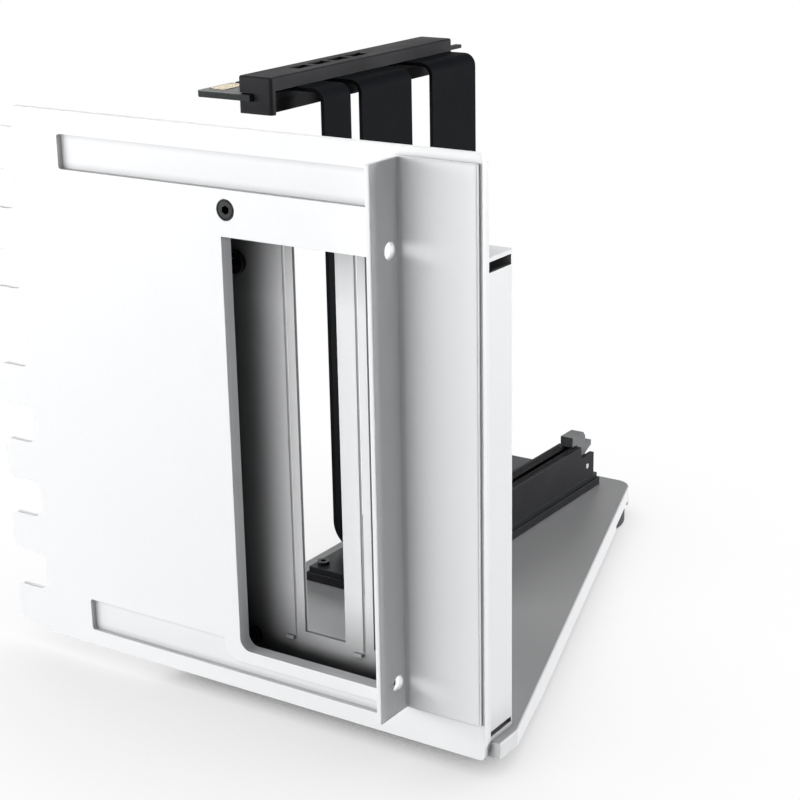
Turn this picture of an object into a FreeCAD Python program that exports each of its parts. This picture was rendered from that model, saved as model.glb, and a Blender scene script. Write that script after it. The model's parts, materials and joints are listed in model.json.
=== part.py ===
import FreeCAD, Part
import math
import os

import Sketcher

# Vertical graphics card mount: a rear plate with a recessed slot panel, a tray and a riser.
# The origin lies midway between the two screw holes of the flange, on its left face.
# +X runs right along the plate as seen from behind the computer, +Y into the computer and +Z up.
# Pieces are drawn from the lower right corner of the plate's outer face, and place() carries them
# from there to the origin. Lengths are in millimetres.

SIZES = {
    # Rear plate, a flat sheet whose tabs stand at the pitch of the expansion slots.
    "plate_width": 133.2,
    "plate_height": 139.2,
    "plate_sheet": 1.4,
    "plate_corner": 1.5,
    "slot_pitch": 20.32,
    "tab_count": 7,
    "tab_length": 10.8,
    "tab_height": 10.4,
    "tab_bottom": 1.5,
    "tab_corner": 2.0,
    "tab_root": 3.0,
    # Two long shallow slots in the plate, and the window between them.
    "groove_left": 118.4,
    "groove_right": 25.0,
    "groove_corner": 0.8,
    "top_groove_drop": 14.2,
    "top_groove_height": 8.5,
    "low_groove_bottom": 4.3,
    "low_groove_height": 8.5,
    "low_groove_neck": 3.1,
    "low_groove_step": 74.5,
    "low_groove_sweep": 4.4,
    "window_left": 69.5,
    "window_right": 24.0,
    "window_bottom": 10.7,
    "window_drop": 25.2,
    "window_corner": 3.0,
    "plate_screw_left": 67.9,
    "plate_screw_drop": 18.9,
    "plate_screw_hole": 5.1,
    # Backing sheet behind the plate, with a turned rim around the window.
    "backing_sheet_thickness": 1.2,
    "backing_left": 122.5,
    "backing_margin": 2.2,
    "window_wall": 3.5,
    "rim_width": 1.2,
    # Slot panel, the folded pan that the card's bracket is screwed to.
    "panel_face": 11.7,
    "panel_sheet": 1.0,
    "panel_left": 80.0,
    "panel_right": 0.0,
    "shelf_drop": 22.4,
    "shelf_slit": 2.3,
    "floor_slit": 1.3,
    "fold_radius": 0.8,
    "opening_count": 2,
    "opening_width": 12.06,
    "opening_left": 58.3,
    "opening_bottom": 13.5,
    "opening_drop": 6.2,
    "bead_width": 2.3,
    "bead_slit": 0.8,
    "bead_end": 1.6,
    "bead_stop": 2.2,
    "panel_screw_inset": 5.6,
    "panel_screw_low": 9.0,
    "panel_screw_drop": 11.8,
    # Screw flange, an L-shaped bracket on the plate's outer face.
    "flange_fold": 21.2,
    "flange_right": 0.6,
    "flange_reach": 11.8,
    "flange_sheet": 1.2,
    "flange_bottom": 9.1,
    "flange_drop": 2.1,
    "flange_bend": 1.6,
    "flange_hole": 4.0,
    "flange_hole_out": 4.8,
    "flange_hole_low": 16.4,
    "flange_hole_pitch": 101.1,
    # Base tray, a sheet that tapers to the rear with a lip turned down all round.
    "tray_top": 4.0,
    "tray_sheet": 1.2,
    "tray_lip": 5.5,
    "tray_right": 2.5,
    "tray_straight": 10.5,
    "tray_rear": 168.5,
    "tray_rear_right": 48.4,
    "tray_left": 98.0,
    "tray_corner": 6.0,
    "tray_fold": 0.5,
    "lip_relief": 1.5,
    "lip_relief_end": 38.0,
    "foot_drop": 3.6,
    "foot_radius": 12.0,
    "foot_setback": 12.5,
    "foot_clearance": 0.15,
    "foot_edge": 1.2,
    "foot_notch": 1.3,
    "foot_notch_length": 20.0,
    # Riser base and board, along the tray under the card.
    "riser_right": 56.0,
    "riser_width": 34.0,
    "riser_front": 55.0,
    "riser_length": 107.0,
    "riser_base_height": 2.4,
    "board_thickness": 1.6,
    "board_inset": 0.6,
    "board_screw_inset": 2.4,
    "board_screw_front": 4.0,
    # Card socket with its latch.
    "socket_centre": 60.3,
    "socket_width": 7.6,
    "socket_front": 62.0,
    "socket_length": 89.0,
    "socket_height": 11.25,
    "card_slot_width": 1.9,
    "card_slot_depth": 8.4,
    "card_slot_end": 1.8,
    "key_distance": 13.4,
    "key_width": 1.7,
    "contact_pitch": 1.0,
    "contact_width": 0.5,
    "contact_thickness": 0.35,
    "contact_height": 6.6,
    "contact_bar": 0.8,
    "contact_gap": 0.05,
    "lead_in": 0.4,
    "tower_length": 8.0,
    "tower_height": 7.4,
    "tower_wall": 1.4,
    "latch_clearance": 0.35,
    "latch_pivot_back": 4.0,
    "latch_pivot_up": 4.0,
    "latch_heel": 1.6,
    "latch_heel_drop": 2.2,
    "latch_round": 1.0,
    "latch_hook": 2.8,
    "latch_hook_height": 3.0,
    "latch_thumb": 3.8,
    "latch_thumb_low": 3.5,
    "latch_thumb_rise": 1.6,
    "pin_radius": 0.8,
    "pin_clearance": 0.1,
    # Ribbon cables between the riser board and the plug.
    "ribbon_thickness": 1.0,
    "ribbon_wall_left": 91.5,
    "ribbon_bend": 7.0,
    "ribbon_top_bend": 3.0,
    "ribbon_entry": 4.0,
    "ribbon_gap": 0.1,
    "ribbon_1_front": 71.1,
    "ribbon_1_width": 12.3,
    "ribbon_2_front": 88.5,
    "ribbon_2_width": 24.5,
    "ribbon_3_front": 123.6,
    "ribbon_3_width": 23.5,
    "clamp_width": 4.0,
    "clamp_height": 2.2,
    "clamp_reach": 3.0,
    # Plug at the other end of the ribbons.
    "plug_right": 100.0,
    "plug_width": 11.0,
    "plug_front": 60.8,
    "plug_length": 88.0,
    "plug_top": 139.8,
    "plug_height": 9.8,
    "plug_band": 3.6,
    "plug_recess": 2.6,
    "plug_end": 1.6,
    "plug_corner": 1.0,
    "plug_edge": 0.6,
    "plug_ear": 4.8,
    "ear_clearance": 0.3,
    "tongue_width": 2.0,
    "tongue_height": 1.0,
    "tongue_length": 6.2,
    "tongue_side": 0.6,
    "plug_wall": 1.2,
    "plug_screw_inset": 3.0,
    "plug_screw_end": 8.0,
    "blade_reach": 13.4,
    "blade_front": 59.4,
    "blade_length": 94.0,
    "blade_margin": 4.0,
    "blade_chamfer": 1.2,
    "blade_notch_depth": 8.0,
    "finger_length": 5.6,
    "finger_thickness": 0.1,
    "finger_margin": 0.8,
    "recess_width": 3.6,
    "recess_length": 7.0,
    "recess_depth": 1.0,
    "recess_pitch": 8.6,
    "recess_count": 4,
    "recess_front": 17.0,
    # Fasteners.
    "screw_radius": 1.4,
    "head_radius": 2.6,
    "head_height": 1.6,
    "drive_share": 0.5,
    "head_clearance": 0.05,
    "screw_end": 2.4,
    "tray_screw_inset": 12.0,
    "tray_screw_back": 7.5,
    "card_screw_back": 5.6,
    "small_screw_radius": 0.9,
    "small_head_radius": 1.7,
    "small_head_height": 1.0,
}

doc = FreeCAD.newDocument("VerticalCardMount")
sheet = doc.addObject("Spreadsheet::Sheet", "Sizes")
for row, (word, number) in enumerate(SIZES.items(), start=1):
    sheet.set(f"A{row}", word)
    sheet.set(f"B{row}", str(number))
    sheet.setAlias(f"B{row}", word)
doc.recompute()


class Size:
    """A number together with the sheet formula that gives it."""

    def __init__(self, number, formula):
        self.number = float(number)
        self.formula = formula

    def __float__(self):
        return self.number

    def __add__(self, other):
        return joined(self, "+", other, self.number + float(other))

    def __radd__(self, other):
        return as_size(other) + self

    def __sub__(self, other):
        return joined(self, "-", other, self.number - float(other))

    def __rsub__(self, other):
        return as_size(other) - self

    def __mul__(self, other):
        return joined(self, "*", other, self.number * float(other))

    def __rmul__(self, other):
        return as_size(other) * self

    def __truediv__(self, other):
        return joined(self, "/", other, self.number / float(other))

    def __neg__(self):
        return as_size(0) - self


def as_size(value):
    return value if isinstance(value, Size) else Size(value, f"{float(value):g}")


def joined(left, sign, right, number):
    return Size(number, f"({left.formula} {sign} {as_size(right).formula})")


class Sheet:
    """Reads the driving sizes by name."""

    def __getattr__(self, word):
        return Size(sheet.get(word), f"Sizes.{word}")


S = Sheet()
NODES = []


def bind(item, prop, size):
    """Set one property of an object from the sheet."""
    item.setExpression(prop, as_size(size).formula)


def origin():
    """The part's origin, seen from the plate's lower right corner."""
    return -S.flange_fold, -S.flange_hole_out, S.flange_hole_low + S.flange_hole_pitch / 2


def place(item, x, y, z):
    """Put an object at a point given from the plate's lower right corner."""
    spot = [value - datum for value, datum in zip((as_size(x), as_size(y), as_size(z)), origin())]
    item.Placement.Base = FreeCAD.Vector(*[float(value) for value in spot])
    for axis, value in zip("xyz", spot):
        bind(item, f"Placement.Base.{axis}", value)


def node(item, label):
    """Register a finished object as one of the mount's pieces."""
    item.Label = label
    NODES.append(item)
    return item


def new_body(label, x=0, y=0, z=0):
    body = doc.addObject("PartDesign::Body", label + "_body")
    place(body, x, y, z)
    return node(body, label)


def sketch_on(body, role, name, lift=None):
    """Attach an empty sketch to one of the body's own origin planes, or to a level above it."""
    plane = next(item for item in body.Origin.OriginFeatures if item.Role == role)
    sketch = body.newObject("Sketcher::SketchObject", name)
    sketch.AttachmentSupport = [(plane, "")]
    sketch.MapMode = "FlatFace"
    if lift is not None:
        bind(sketch, "AttachmentOffset.Base.z", lift)
    return sketch


def fix(sketch, kind, geometry, point, size):
    """Dimension one point of the sketch from its origin."""
    index = sketch.addConstraint(Sketcher.Constraint(kind, -1, 1, geometry, point, float(size)))
    bind(sketch, f"Constraints[{index}]", size)


def draw_outline(sketch, corners):
    """Add a closed outline of straight lines whose corners follow the sheet."""
    points = [FreeCAD.Vector(float(u), float(v), 0) for u, v in corners]
    first = sketch.GeometryCount
    count = len(points)
    for index in range(count):
        sketch.addGeometry(Part.LineSegment(points[index], points[(index + 1) % count]), False)
    for index in range(count):
        following = first + (index + 1) % count
        sketch.addConstraint(Sketcher.Constraint("Coincident", first + index, 2, following, 1))
    for index, (u, v) in enumerate(corners):
        fix(sketch, "DistanceX", first + index, 1, u)
        fix(sketch, "DistanceY", first + index, 1, v)


def draw_box(sketch, left, bottom, right, top):
    draw_outline(sketch, [(left, bottom), (right, bottom), (right, top), (left, top)])


def draw_circle(sketch, u, v, radius):
    centre = FreeCAD.Vector(float(u), float(v), 0)
    index = sketch.addGeometry(Part.Circle(centre, FreeCAD.Vector(0, 0, 1), float(radius)), False)
    fix(sketch, "DistanceX", index, 3, u)
    fix(sketch, "DistanceY", index, 3, v)
    limit = sketch.addConstraint(Sketcher.Constraint("Radius", index, float(radius)))
    bind(sketch, f"Constraints[{limit}]", radius)


def pad(body, sketch, length, reverse=False):
    feature = body.newObject("PartDesign::Pad", sketch.Name + "_pad")
    feature.Profile = sketch
    feature.Length = float(length)
    feature.Reversed = reverse
    bind(feature, "Length", length)
    sketch.Visibility = False
    doc.recompute()
    return feature


def pocket(body, sketch, depth=None, reverse=False):
    """Cut a sketch out of the body, right through where no depth is given."""
    before = body.Shape.Volume
    feature = body.newObject("PartDesign::Pocket", sketch.Name + "_pocket")
    feature.Profile = sketch
    feature.Reversed = reverse
    if depth is None:
        feature.Type = "ThroughAll"
        feature.Midplane = True
    else:
        feature.Length = float(depth)
        bind(feature, "Length", depth)
    sketch.Visibility = False
    doc.recompute()
    if body.Shape.Volume > before - 1e-6:
        raise RuntimeError(sketch.Name + " cuts nothing")
    return feature


def edges_at(shape, axis, spots):
    """Names of the straight edges that run along an axis through the given spots."""
    names = []
    across = [index for index in range(3) if index != axis]
    for number, edge in enumerate(shape.Edges, start=1):
        if len(edge.Vertexes) < 2:
            continue
        ends = [vertex.Point for vertex in edge.Vertexes]
        if any(abs(ends[0][index] - ends[1][index]) > 1e-5 for index in across):
            continue
        for spot in spots:
            if all(abs(ends[0][index] - float(value)) < 1e-3 for index, value in zip(across, spot)):
                names.append(f"Edge{number}")
    return names


def fillet(body, base, names, radius):
    feature = body.newObject("PartDesign::Fillet", base.Name + "_fillet")
    feature.Base = (base, names)
    feature.Radius = float(radius)
    bind(feature, "Radius", radius)
    doc.recompute()
    if "Invalid" in feature.State or not names:
        raise RuntimeError(feature.Name + " rounds nothing")
    return feature


def window_top():
    return S.plate_height - S.window_drop


def plate_screw_height():
    return S.plate_height - S.plate_screw_drop


def rear_plate():
    """Flat sheet with seven tabs, two long slots, the window and a screw hole."""
    body = new_body("rear_plate")
    outline = sketch_on(body, "XZ_Plane", "plate_outline")
    draw_box(outline, -S.plate_width, 0, 0, S.plate_height)
    plate = pad(body, outline, S.plate_sheet, reverse=True)

    tab = sketch_on(body, "XZ_Plane", "tab_outline")
    tab_top = S.tab_bottom + S.tab_height
    draw_box(tab, -(S.plate_width + S.tab_length), S.tab_bottom, -S.plate_width, tab_top)
    first_tab = pad(body, tab, S.plate_sheet, reverse=True)
    tabs = body.newObject("PartDesign::LinearPattern", "tabs")
    tabs.Originals = [first_tab]
    tabs.Direction = (outline, ["V_Axis"])
    tabs.Length = float(S.slot_pitch * (S.tab_count - 1))
    tabs.Occurrences = int(S.tab_count.number)
    bind(tabs, "Length", S.slot_pitch * (S.tab_count - 1))
    bind(tabs, "Occurrences", S.tab_count)
    body.Tip = tabs
    doc.recompute()

    rows = [S.tab_bottom + S.slot_pitch * index for index in range(int(S.tab_count.number))]
    tips = [(-(S.plate_width + S.tab_length), z + rise) for z in rows for rise in (0, S.tab_height)]
    roots = [(-S.plate_width, z) for z in rows[1:]]
    roots += [(-S.plate_width, z + S.tab_height) for z in rows[:-1]]
    rounded = fillet(body, tabs, edges_at(tabs.Shape, 1, tips), S.tab_corner)
    rooted = fillet(body, rounded, edges_at(rounded.Shape, 1, roots), S.tab_root)

    corners = [(0, 0), (0, S.plate_height), (-S.plate_width, S.plate_height)]
    rounded_plate = fillet(body, rooted, edges_at(rooted.Shape, 1, corners), S.plate_corner)

    slots = sketch_on(body, "XZ_Plane", "long_slots")
    bottom = S.plate_height - S.top_groove_drop
    top = bottom + S.top_groove_height
    draw_box(slots, -S.groove_left, bottom, -S.groove_right, top)
    low = S.low_groove_bottom
    neck = low + S.low_groove_neck
    high = low + S.low_groove_height
    draw_outline(slots, [(-S.groove_left, low), (-S.groove_right, low), (-S.groove_right, neck),
                         (-S.low_groove_step, neck), (-S.low_groove_step, high), (-S.groove_left, high)])
    cut = pocket(body, slots)
    ends = [(x, z) for x in (-S.groove_left, -S.groove_right) for z in (bottom, top, low)]
    ends += [(-S.groove_left, high)]
    softened = fillet(body, cut, edges_at(cut.Shape, 1, ends), S.groove_corner)
    step = [(-S.low_groove_step, neck)]
    fillet(body, softened, edges_at(softened.Shape, 1, step), S.low_groove_sweep)

    window = sketch_on(body, "XZ_Plane", "window")
    draw_box(window, -S.window_left, S.window_bottom, -S.window_right, window_top())
    opened = pocket(body, window)
    low_corners = [(-S.window_left, S.window_bottom), (-S.window_right, S.window_bottom)]
    fillet(body, opened, edges_at(opened.Shape, 1, low_corners), S.window_corner)

    hole = sketch_on(body, "XZ_Plane", "plate_screw_hole_outline")
    draw_circle(hole, -S.plate_screw_left, plate_screw_height(), S.plate_screw_hole / 2)
    pocket(body, hole)
    return body


def backing_sheet():
    """Second sheet behind the plate; its window edge is turned back as a rim."""
    body = new_body("backing_sheet", 0, S.plate_sheet, 0)
    outline = sketch_on(body, "XZ_Plane", "backing_outline")
    margin = S.backing_margin
    draw_box(outline, -S.backing_left, margin, 0, S.plate_height - margin)
    pad(body, outline, S.backing_sheet_thickness, reverse=True)
    rim = sketch_on(body, "XZ_Plane", "rim_outline")
    draw_box(rim, -(S.window_left + S.rim_width), S.window_bottom - S.rim_width,
             -(S.window_right - S.rim_width), window_top() + S.rim_width)
    pad(body, rim, S.window_wall - S.plate_sheet, reverse=True)
    window = sketch_on(body, "XZ_Plane", "backing_window")
    draw_box(window, -S.window_left, S.window_bottom, -S.window_right, window_top())
    opened = pocket(body, window)
    corners = [(-S.window_left, S.window_bottom), (-S.window_right, S.window_bottom)]
    fillet(body, opened, edges_at(opened.Shape, 1, corners), S.window_corner)
    hole = sketch_on(body, "XZ_Plane", "backing_screw_hole")
    draw_circle(hole, -S.plate_screw_left, plate_screw_height(), S.screw_radius)
    pocket(body, hole)
    return body


def shelf_top():
    """Height of the shelf that carries the card's bracket."""
    return S.plate_height - S.shelf_drop


def slot_panel():
    """Folded pan: slotted face, two side walls, the card shelf and the bottom flange."""
    back = S.panel_face + S.panel_sheet
    body = new_body("slot_panel", 0, back, 0)
    left = -S.panel_left
    right = -S.panel_right
    face = sketch_on(body, "XZ_Plane", "panel_face_outline")
    draw_box(face, left, S.tray_top, right, shelf_top())
    pad(body, face, S.panel_sheet)

    walls = sketch_on(body, "XZ_Plane", "panel_walls")
    thick = S.panel_sheet
    wall_top = shelf_top() - thick - S.shelf_slit
    wall_bottom = S.tray_top + thick + S.floor_slit
    draw_box(walls, left, S.tray_top, right, S.tray_top + thick)
    draw_box(walls, left, shelf_top() - thick, right, shelf_top())
    draw_box(walls, left, wall_bottom, left + thick, wall_top)
    draw_box(walls, right - thick, wall_bottom, right, wall_top)
    behind_backing = S.plate_sheet + S.backing_sheet_thickness
    pan = pad(body, walls, back - behind_backing)
    fillet(body, pan, edges_at(pan.Shape, 2, [(left, 0), (right, 0)]), S.fold_radius)

    opening_top = shelf_top() - S.opening_drop
    slots = sketch_on(body, "XZ_Plane", "card_openings")
    for index in range(int(S.opening_count.number)):
        edge = -S.opening_left + S.slot_pitch * index
        draw_box(slots, edge, S.opening_bottom, edge + S.opening_width, opening_top)
        slit = edge - S.bead_width
        draw_box(slots, slit - S.bead_slit, S.opening_bottom - S.bead_end, slit, opening_top + S.bead_end)
    pocket(body, slots)

    stops = sketch_on(body, "XZ_Plane", "bead_stops")
    for index in range(int(S.opening_count.number)):
        slit = -S.opening_left + S.slot_pitch * index - S.bead_width - S.bead_slit
        top = S.opening_bottom - S.bead_end
        draw_box(stops, slit - S.bead_stop, top - S.bead_slit, slit, top)
    pad(body, stops, S.panel_sheet * 2)

    holes = sketch_on(body, "XZ_Plane", "panel_screw_holes")
    for z in (S.panel_screw_low, shelf_top() - S.panel_screw_drop):
        draw_circle(holes, left + S.panel_screw_inset, z, S.screw_radius)
    pocket(body, holes)

    threads = sketch_on(body, "XY_Plane", "card_screw_holes", lift=shelf_top())
    for index in range(int(S.opening_count.number)):
        centre = -S.opening_left + S.slot_pitch * index + S.opening_width / 2
        draw_circle(threads, centre, S.card_screw_back - back, S.screw_radius)
    pocket(body, threads, thick)
    joints = sketch_on(body, "XY_Plane", "panel_floor_holes", lift=S.tray_top + thick)
    for x, y in tray_screw_spots():
        draw_circle(joints, x, y - back, S.small_screw_radius)
    pocket(body, joints, thick)
    return body


def screw_flange():
    """L-shaped bracket: one leg lies on the plate, the other stands out with two screw holes."""
    body = new_body("screw_flange", 0, 0, S.flange_bottom)
    fold = -S.flange_fold
    thick = S.flange_sheet
    section = sketch_on(body, "XY_Plane", "flange_section")
    draw_outline(section, [(fold, 0), (fold, -S.flange_reach), (fold + thick, -S.flange_reach),
                           (fold + thick, -thick), (-S.flange_right, -thick), (-S.flange_right, 0)])
    bent = pad(body, section, S.plate_height - S.flange_drop - S.flange_bottom)
    outer = fillet(body, bent, edges_at(bent.Shape, 2, [(fold, 0)]), S.flange_bend)
    fillet(body, outer, edges_at(outer.Shape, 2, [(fold + thick, -thick)]), S.flange_bend - thick)
    holes = sketch_on(body, "YZ_Plane", "flange_holes")
    for rise in (0, S.flange_hole_pitch):
        z = S.flange_hole_low - S.flange_bottom + rise
        draw_circle(holes, -S.flange_hole_out, z, S.flange_hole / 2)
    pocket(body, holes)
    return body


def tray_corners():
    """Plan of the tray, clockwise from its front right corner."""
    front = S.plate_sheet + S.backing_sheet_thickness
    return [(S.tray_right, front), (S.tray_right, S.tray_straight), (-S.tray_rear_right, S.tray_rear),
            (-S.tray_left, S.tray_rear), (-S.tray_left, front)]


def base_tray():
    """Tapering sheet with a lip turned down all round."""
    body = new_body("base_tray", 0, 0, S.tray_top)
    plan = sketch_on(body, "XY_Plane", "tray_plan")
    draw_outline(plan, tray_corners())
    block = pad(body, plan, S.tray_lip, reverse=True)
    rear = edges_at(block.Shape, 2, tray_corners()[2:4])
    rounded = fillet(body, block, rear, S.tray_corner)
    underside = [f"Face{number}" for number, face in enumerate(rounded.Shape.Faces, start=1)
                 if abs(face.CenterOfMass.z + float(S.tray_lip)) < 1e-4]
    shell = body.newObject("PartDesign::Thickness", "tray_shell")
    shell.Base = (rounded, underside)
    shell.Value = float(S.tray_sheet)
    shell.Reversed = True
    bind(shell, "Value", S.tray_sheet)
    doc.recompute()
    top_edges = [f"Edge{number}" for number, edge in enumerate(shell.Shape.Edges, start=1)
                 if all(abs(vertex.Z) < 1e-4 for vertex in edge.Vertexes)]
    fillet(body, shell, top_edges, S.tray_fold)

    threads = sketch_on(body, "XY_Plane", "tray_screw_holes")
    for x, y in tray_screw_spots() + riser_screw_spots():
        draw_circle(threads, x, y, S.small_screw_radius)
    pocket(body, threads)

    relief = sketch_on(body, "YZ_Plane", "lip_relief")
    low = -S.tray_lip
    draw_outline(relief, [(0, low - 1), (S.lip_relief_end, low - 1), (S.lip_relief_end, low),
                          (S.tray_straight, low + S.lip_relief), (0, low + S.lip_relief)])
    pocket(body, relief)

    notch = sketch_on(body, "YZ_Plane", "foot_notch")
    middle = foot_centres()[0].y
    half = S.foot_notch_length / 2
    draw_outline(notch, [(middle - half, low - 1), (middle + half, low - 1),
                         (middle + half, low + S.foot_notch), (middle - half, low + S.foot_notch)])
    pocket(body, notch)
    return body


def foot_centres():
    """Plan centres of the two round feet, whose rims touch the outer faces of the side lips."""
    corner, ahead = [FreeCAD.Vector(float(x), float(y), 0) for x, y in (tray_corners()[2], tray_corners()[1])]
    forward = (ahead - corner).normalize()
    inward = FreeCAD.Vector(forward.y, -forward.x, 0)
    right = corner + forward * float(S.foot_setback) + inward * float(S.foot_radius)
    left = FreeCAD.Vector(float(S.foot_radius - S.tray_left), right.y, 0)
    return right, left


def solid_node(label, shape):
    """Make a piece from a shape worked out with the sheet's sizes."""
    item = doc.addObject("Part::Feature", label + "_solid")
    item.Shape = shape
    place(item, 0, 0, 0)
    return node(item, label)


def rear_feet():
    """Round rubber feet: each plugs into the hollow of the tray and shows in a notch of the lip."""
    bottom = float(S.tray_top - S.tray_lip - S.foot_drop)
    sole_height = float(S.foot_drop + S.foot_notch - S.foot_clearance)
    plug_height = float(S.foot_drop + S.tray_lip - S.tray_sheet - S.foot_clearance)
    plug_radius = float(S.foot_radius - S.tray_sheet - S.foot_clearance)
    feet = []
    for centre in foot_centres():
        sole = Part.makeCylinder(float(S.foot_radius), sole_height)
        under = [edge for edge in sole.Edges if all(abs(vertex.Z) < 1e-4 for vertex in edge.Vertexes)]
        sole = sole.makeFillet(float(S.foot_edge), under)
        foot = sole.fuse(Part.makeCylinder(plug_radius, plug_height)).removeSplitter().Solids[0]
        foot.translate(centre + FreeCAD.Vector(0, 0, bottom))
        feet.append(foot)
    return solid_node("rear_feet", Part.makeCompound(feet))


def box(name, corner, size):
    """Box whose corner and three sides follow the sheet."""
    item = doc.addObject("Part::Box", name)
    for prop, value in zip(("Length", "Width", "Height"), size):
        setattr(item, prop, float(value))
        bind(item, prop, value)
    place(item, *corner)
    item.Visibility = False
    return item


TURNS = {
    "+X": FreeCAD.Rotation(FreeCAD.Vector(0, 1, 0), 90),
    "+Y": FreeCAD.Rotation(FreeCAD.Vector(1, 0, 0), -90),
    "+Z": FreeCAD.Rotation(),
    "-Z": FreeCAD.Rotation(FreeCAD.Vector(1, 0, 0), 180),
}


def cylinder(name, base, radius, height, towards="+Z"):
    """Cylinder from a base point along one of the main directions."""
    item = doc.addObject("Part::Cylinder", name)
    item.Radius = float(radius)
    item.Height = float(height)
    bind(item, "Radius", radius)
    bind(item, "Height", height)
    item.Placement.Rotation = TURNS[towards]
    place(item, *base)
    item.Visibility = False
    return item


def fused(name, pieces):
    item = doc.addObject("Part::MultiFuse", name)
    item.Shapes = pieces
    item.Refine = True
    return item


def without(name, base, tools):
    """The base with one or more tools cut away."""
    item = doc.addObject("Part::Cut", name)
    item.Base = base
    item.Tool = tools[0] if len(tools) == 1 else fused(name + "_tools", tools)
    item.Refine = True
    return item


def board_top():
    return S.tray_top + S.riser_base_height + S.board_thickness


def riser_screw_spots():
    """Plan positions of the riser's screws, in the three corners that the socket leaves free."""
    inset = S.board_inset + S.board_screw_inset
    left = -(S.riser_right + S.riser_width) + inset
    right = -S.riser_right - inset
    front = S.riser_front + S.board_screw_front
    rear = S.riser_front + S.riser_length - S.board_screw_front
    return [(left, front), (right, front), (left, rear)]


def riser_base():
    """Black insulating plate between the tray and the riser's board."""
    corner = (-(S.riser_right + S.riser_width), S.riser_front, S.tray_top)
    plate = box("riser_base_block", corner, (S.riser_width, S.riser_length, S.riser_base_height))
    holes = [cylinder(f"riser_base_hole_{index}", (x, y, S.tray_top), S.small_screw_radius,
                      S.riser_base_height)
             for index, (x, y) in enumerate(riser_screw_spots())]
    node(without("riser_base_part", plate, holes), "riser_base")


def riser_board():
    """Circuit board that joins the socket to the ribbons."""
    low = S.tray_top + S.riser_base_height
    corner = (-(S.riser_right + S.riser_width) + S.board_inset, S.riser_front + S.board_inset, low)
    size = (S.riser_width - S.board_inset * 2, S.riser_length - S.board_inset * 2, S.board_thickness)
    holes = [cylinder(f"riser_board_hole_{index}", (x, y, low), S.small_screw_radius,
                      S.board_thickness)
             for index, (x, y) in enumerate(riser_screw_spots())]
    node(without("riser_board_part", box("riser_board_block", corner, size), holes), "riser_board")


def latch_pivot():
    """Point of the latch's pin in the plane across the socket."""
    back = S.socket_front + S.socket_length + S.latch_pivot_back
    return back, board_top() + S.latch_pivot_up


def card_slots():
    """Front and length of the socket's two stretches of card slot, on both sides of the key."""
    first = S.socket_front + S.card_slot_end
    key_back = S.socket_front + S.key_distance + S.key_width
    return [(first, S.key_distance - S.card_slot_end),
            (key_back, S.socket_length - S.key_distance - S.key_width - S.card_slot_end)]


def socket_housing():
    """Moulded socket with its keyed slot, contact channels and the latch's tower."""
    left = -S.socket_centre - S.socket_width / 2
    low = board_top()
    main_block = box("socket_block", (left, S.socket_front, low),
                     (S.socket_width, S.socket_length, S.socket_height))
    rear = S.socket_front + S.socket_length
    tower = box("tower_block", (left, rear, low), (S.socket_width, S.tower_length, S.tower_height))
    tools = []
    top = low + S.socket_height
    slot_low = top - S.card_slot_depth
    channel = S.card_slot_width + (S.contact_thickness + S.contact_gap) * 2
    mouth = S.card_slot_width + S.lead_in * 2
    for index, (front, length) in enumerate(card_slots()):
        tools.append(box(f"card_slot_{index}", (-S.socket_centre - S.card_slot_width / 2, front, slot_low),
                         (S.card_slot_width, length, S.card_slot_depth)))
        tools.append(box(f"contact_channel_{index}", (-S.socket_centre - channel / 2, front, slot_low),
                         (channel, length, S.contact_height + S.contact_gap)))
        tools.append(box(f"card_lead_in_{index}", (-S.socket_centre - mouth / 2, front, top - S.lead_in),
                         (mouth, length, S.lead_in)))
    tools.append(box("tower_channel", (left + S.tower_wall, rear, low),
                     (S.socket_width - S.tower_wall * 2, S.tower_length, S.tower_height)))
    pivot_y, pivot_z = latch_pivot()
    tools.append(cylinder("tower_pin_hole", (left, pivot_y, pivot_z), S.pin_radius, S.socket_width, "+X"))
    shell = without("socket_cut", fused("socket_raw", [main_block, tower]), tools)
    node(shell, "socket_housing")


def socket_contacts():
    """Two rows of spring contacts, cut as combs, on each side of the card slot."""
    low = float(board_top() + S.socket_height - S.card_slot_depth)
    pitch = float(S.contact_pitch)
    tooth = float(S.contact_width)
    bar = float(S.contact_bar)
    tip = float(S.contact_height)
    half = float(S.card_slot_width) / 2 + float(S.contact_gap)
    thick = float(S.contact_thickness)
    combs = []
    for front, length in card_slots():
        count = int((float(length) - tooth) / pitch)
        start = float(front) + (float(length) - (count - 1) * pitch - tooth) / 2
        points = [(start, low)]
        for index in range(count):
            y = start + index * pitch
            points += [(y, low + tip), (y + tooth, low + tip)]
            if index < count - 1:
                points += [(y + tooth, low + bar), (y + pitch, low + bar)]
        points.append((start + (count - 1) * pitch + tooth, low))
        for side in (-half - thick, half):
            x = -float(S.socket_centre) + side
            outline = [FreeCAD.Vector(x, y, z) for y, z in points]
            face = Part.Face(Part.makePolygon(outline + outline[:1]))
            combs.append(face.extrude(FreeCAD.Vector(thick, 0, 0)))
    solid_node("socket_contacts", Part.makeCompound(combs))


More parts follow.
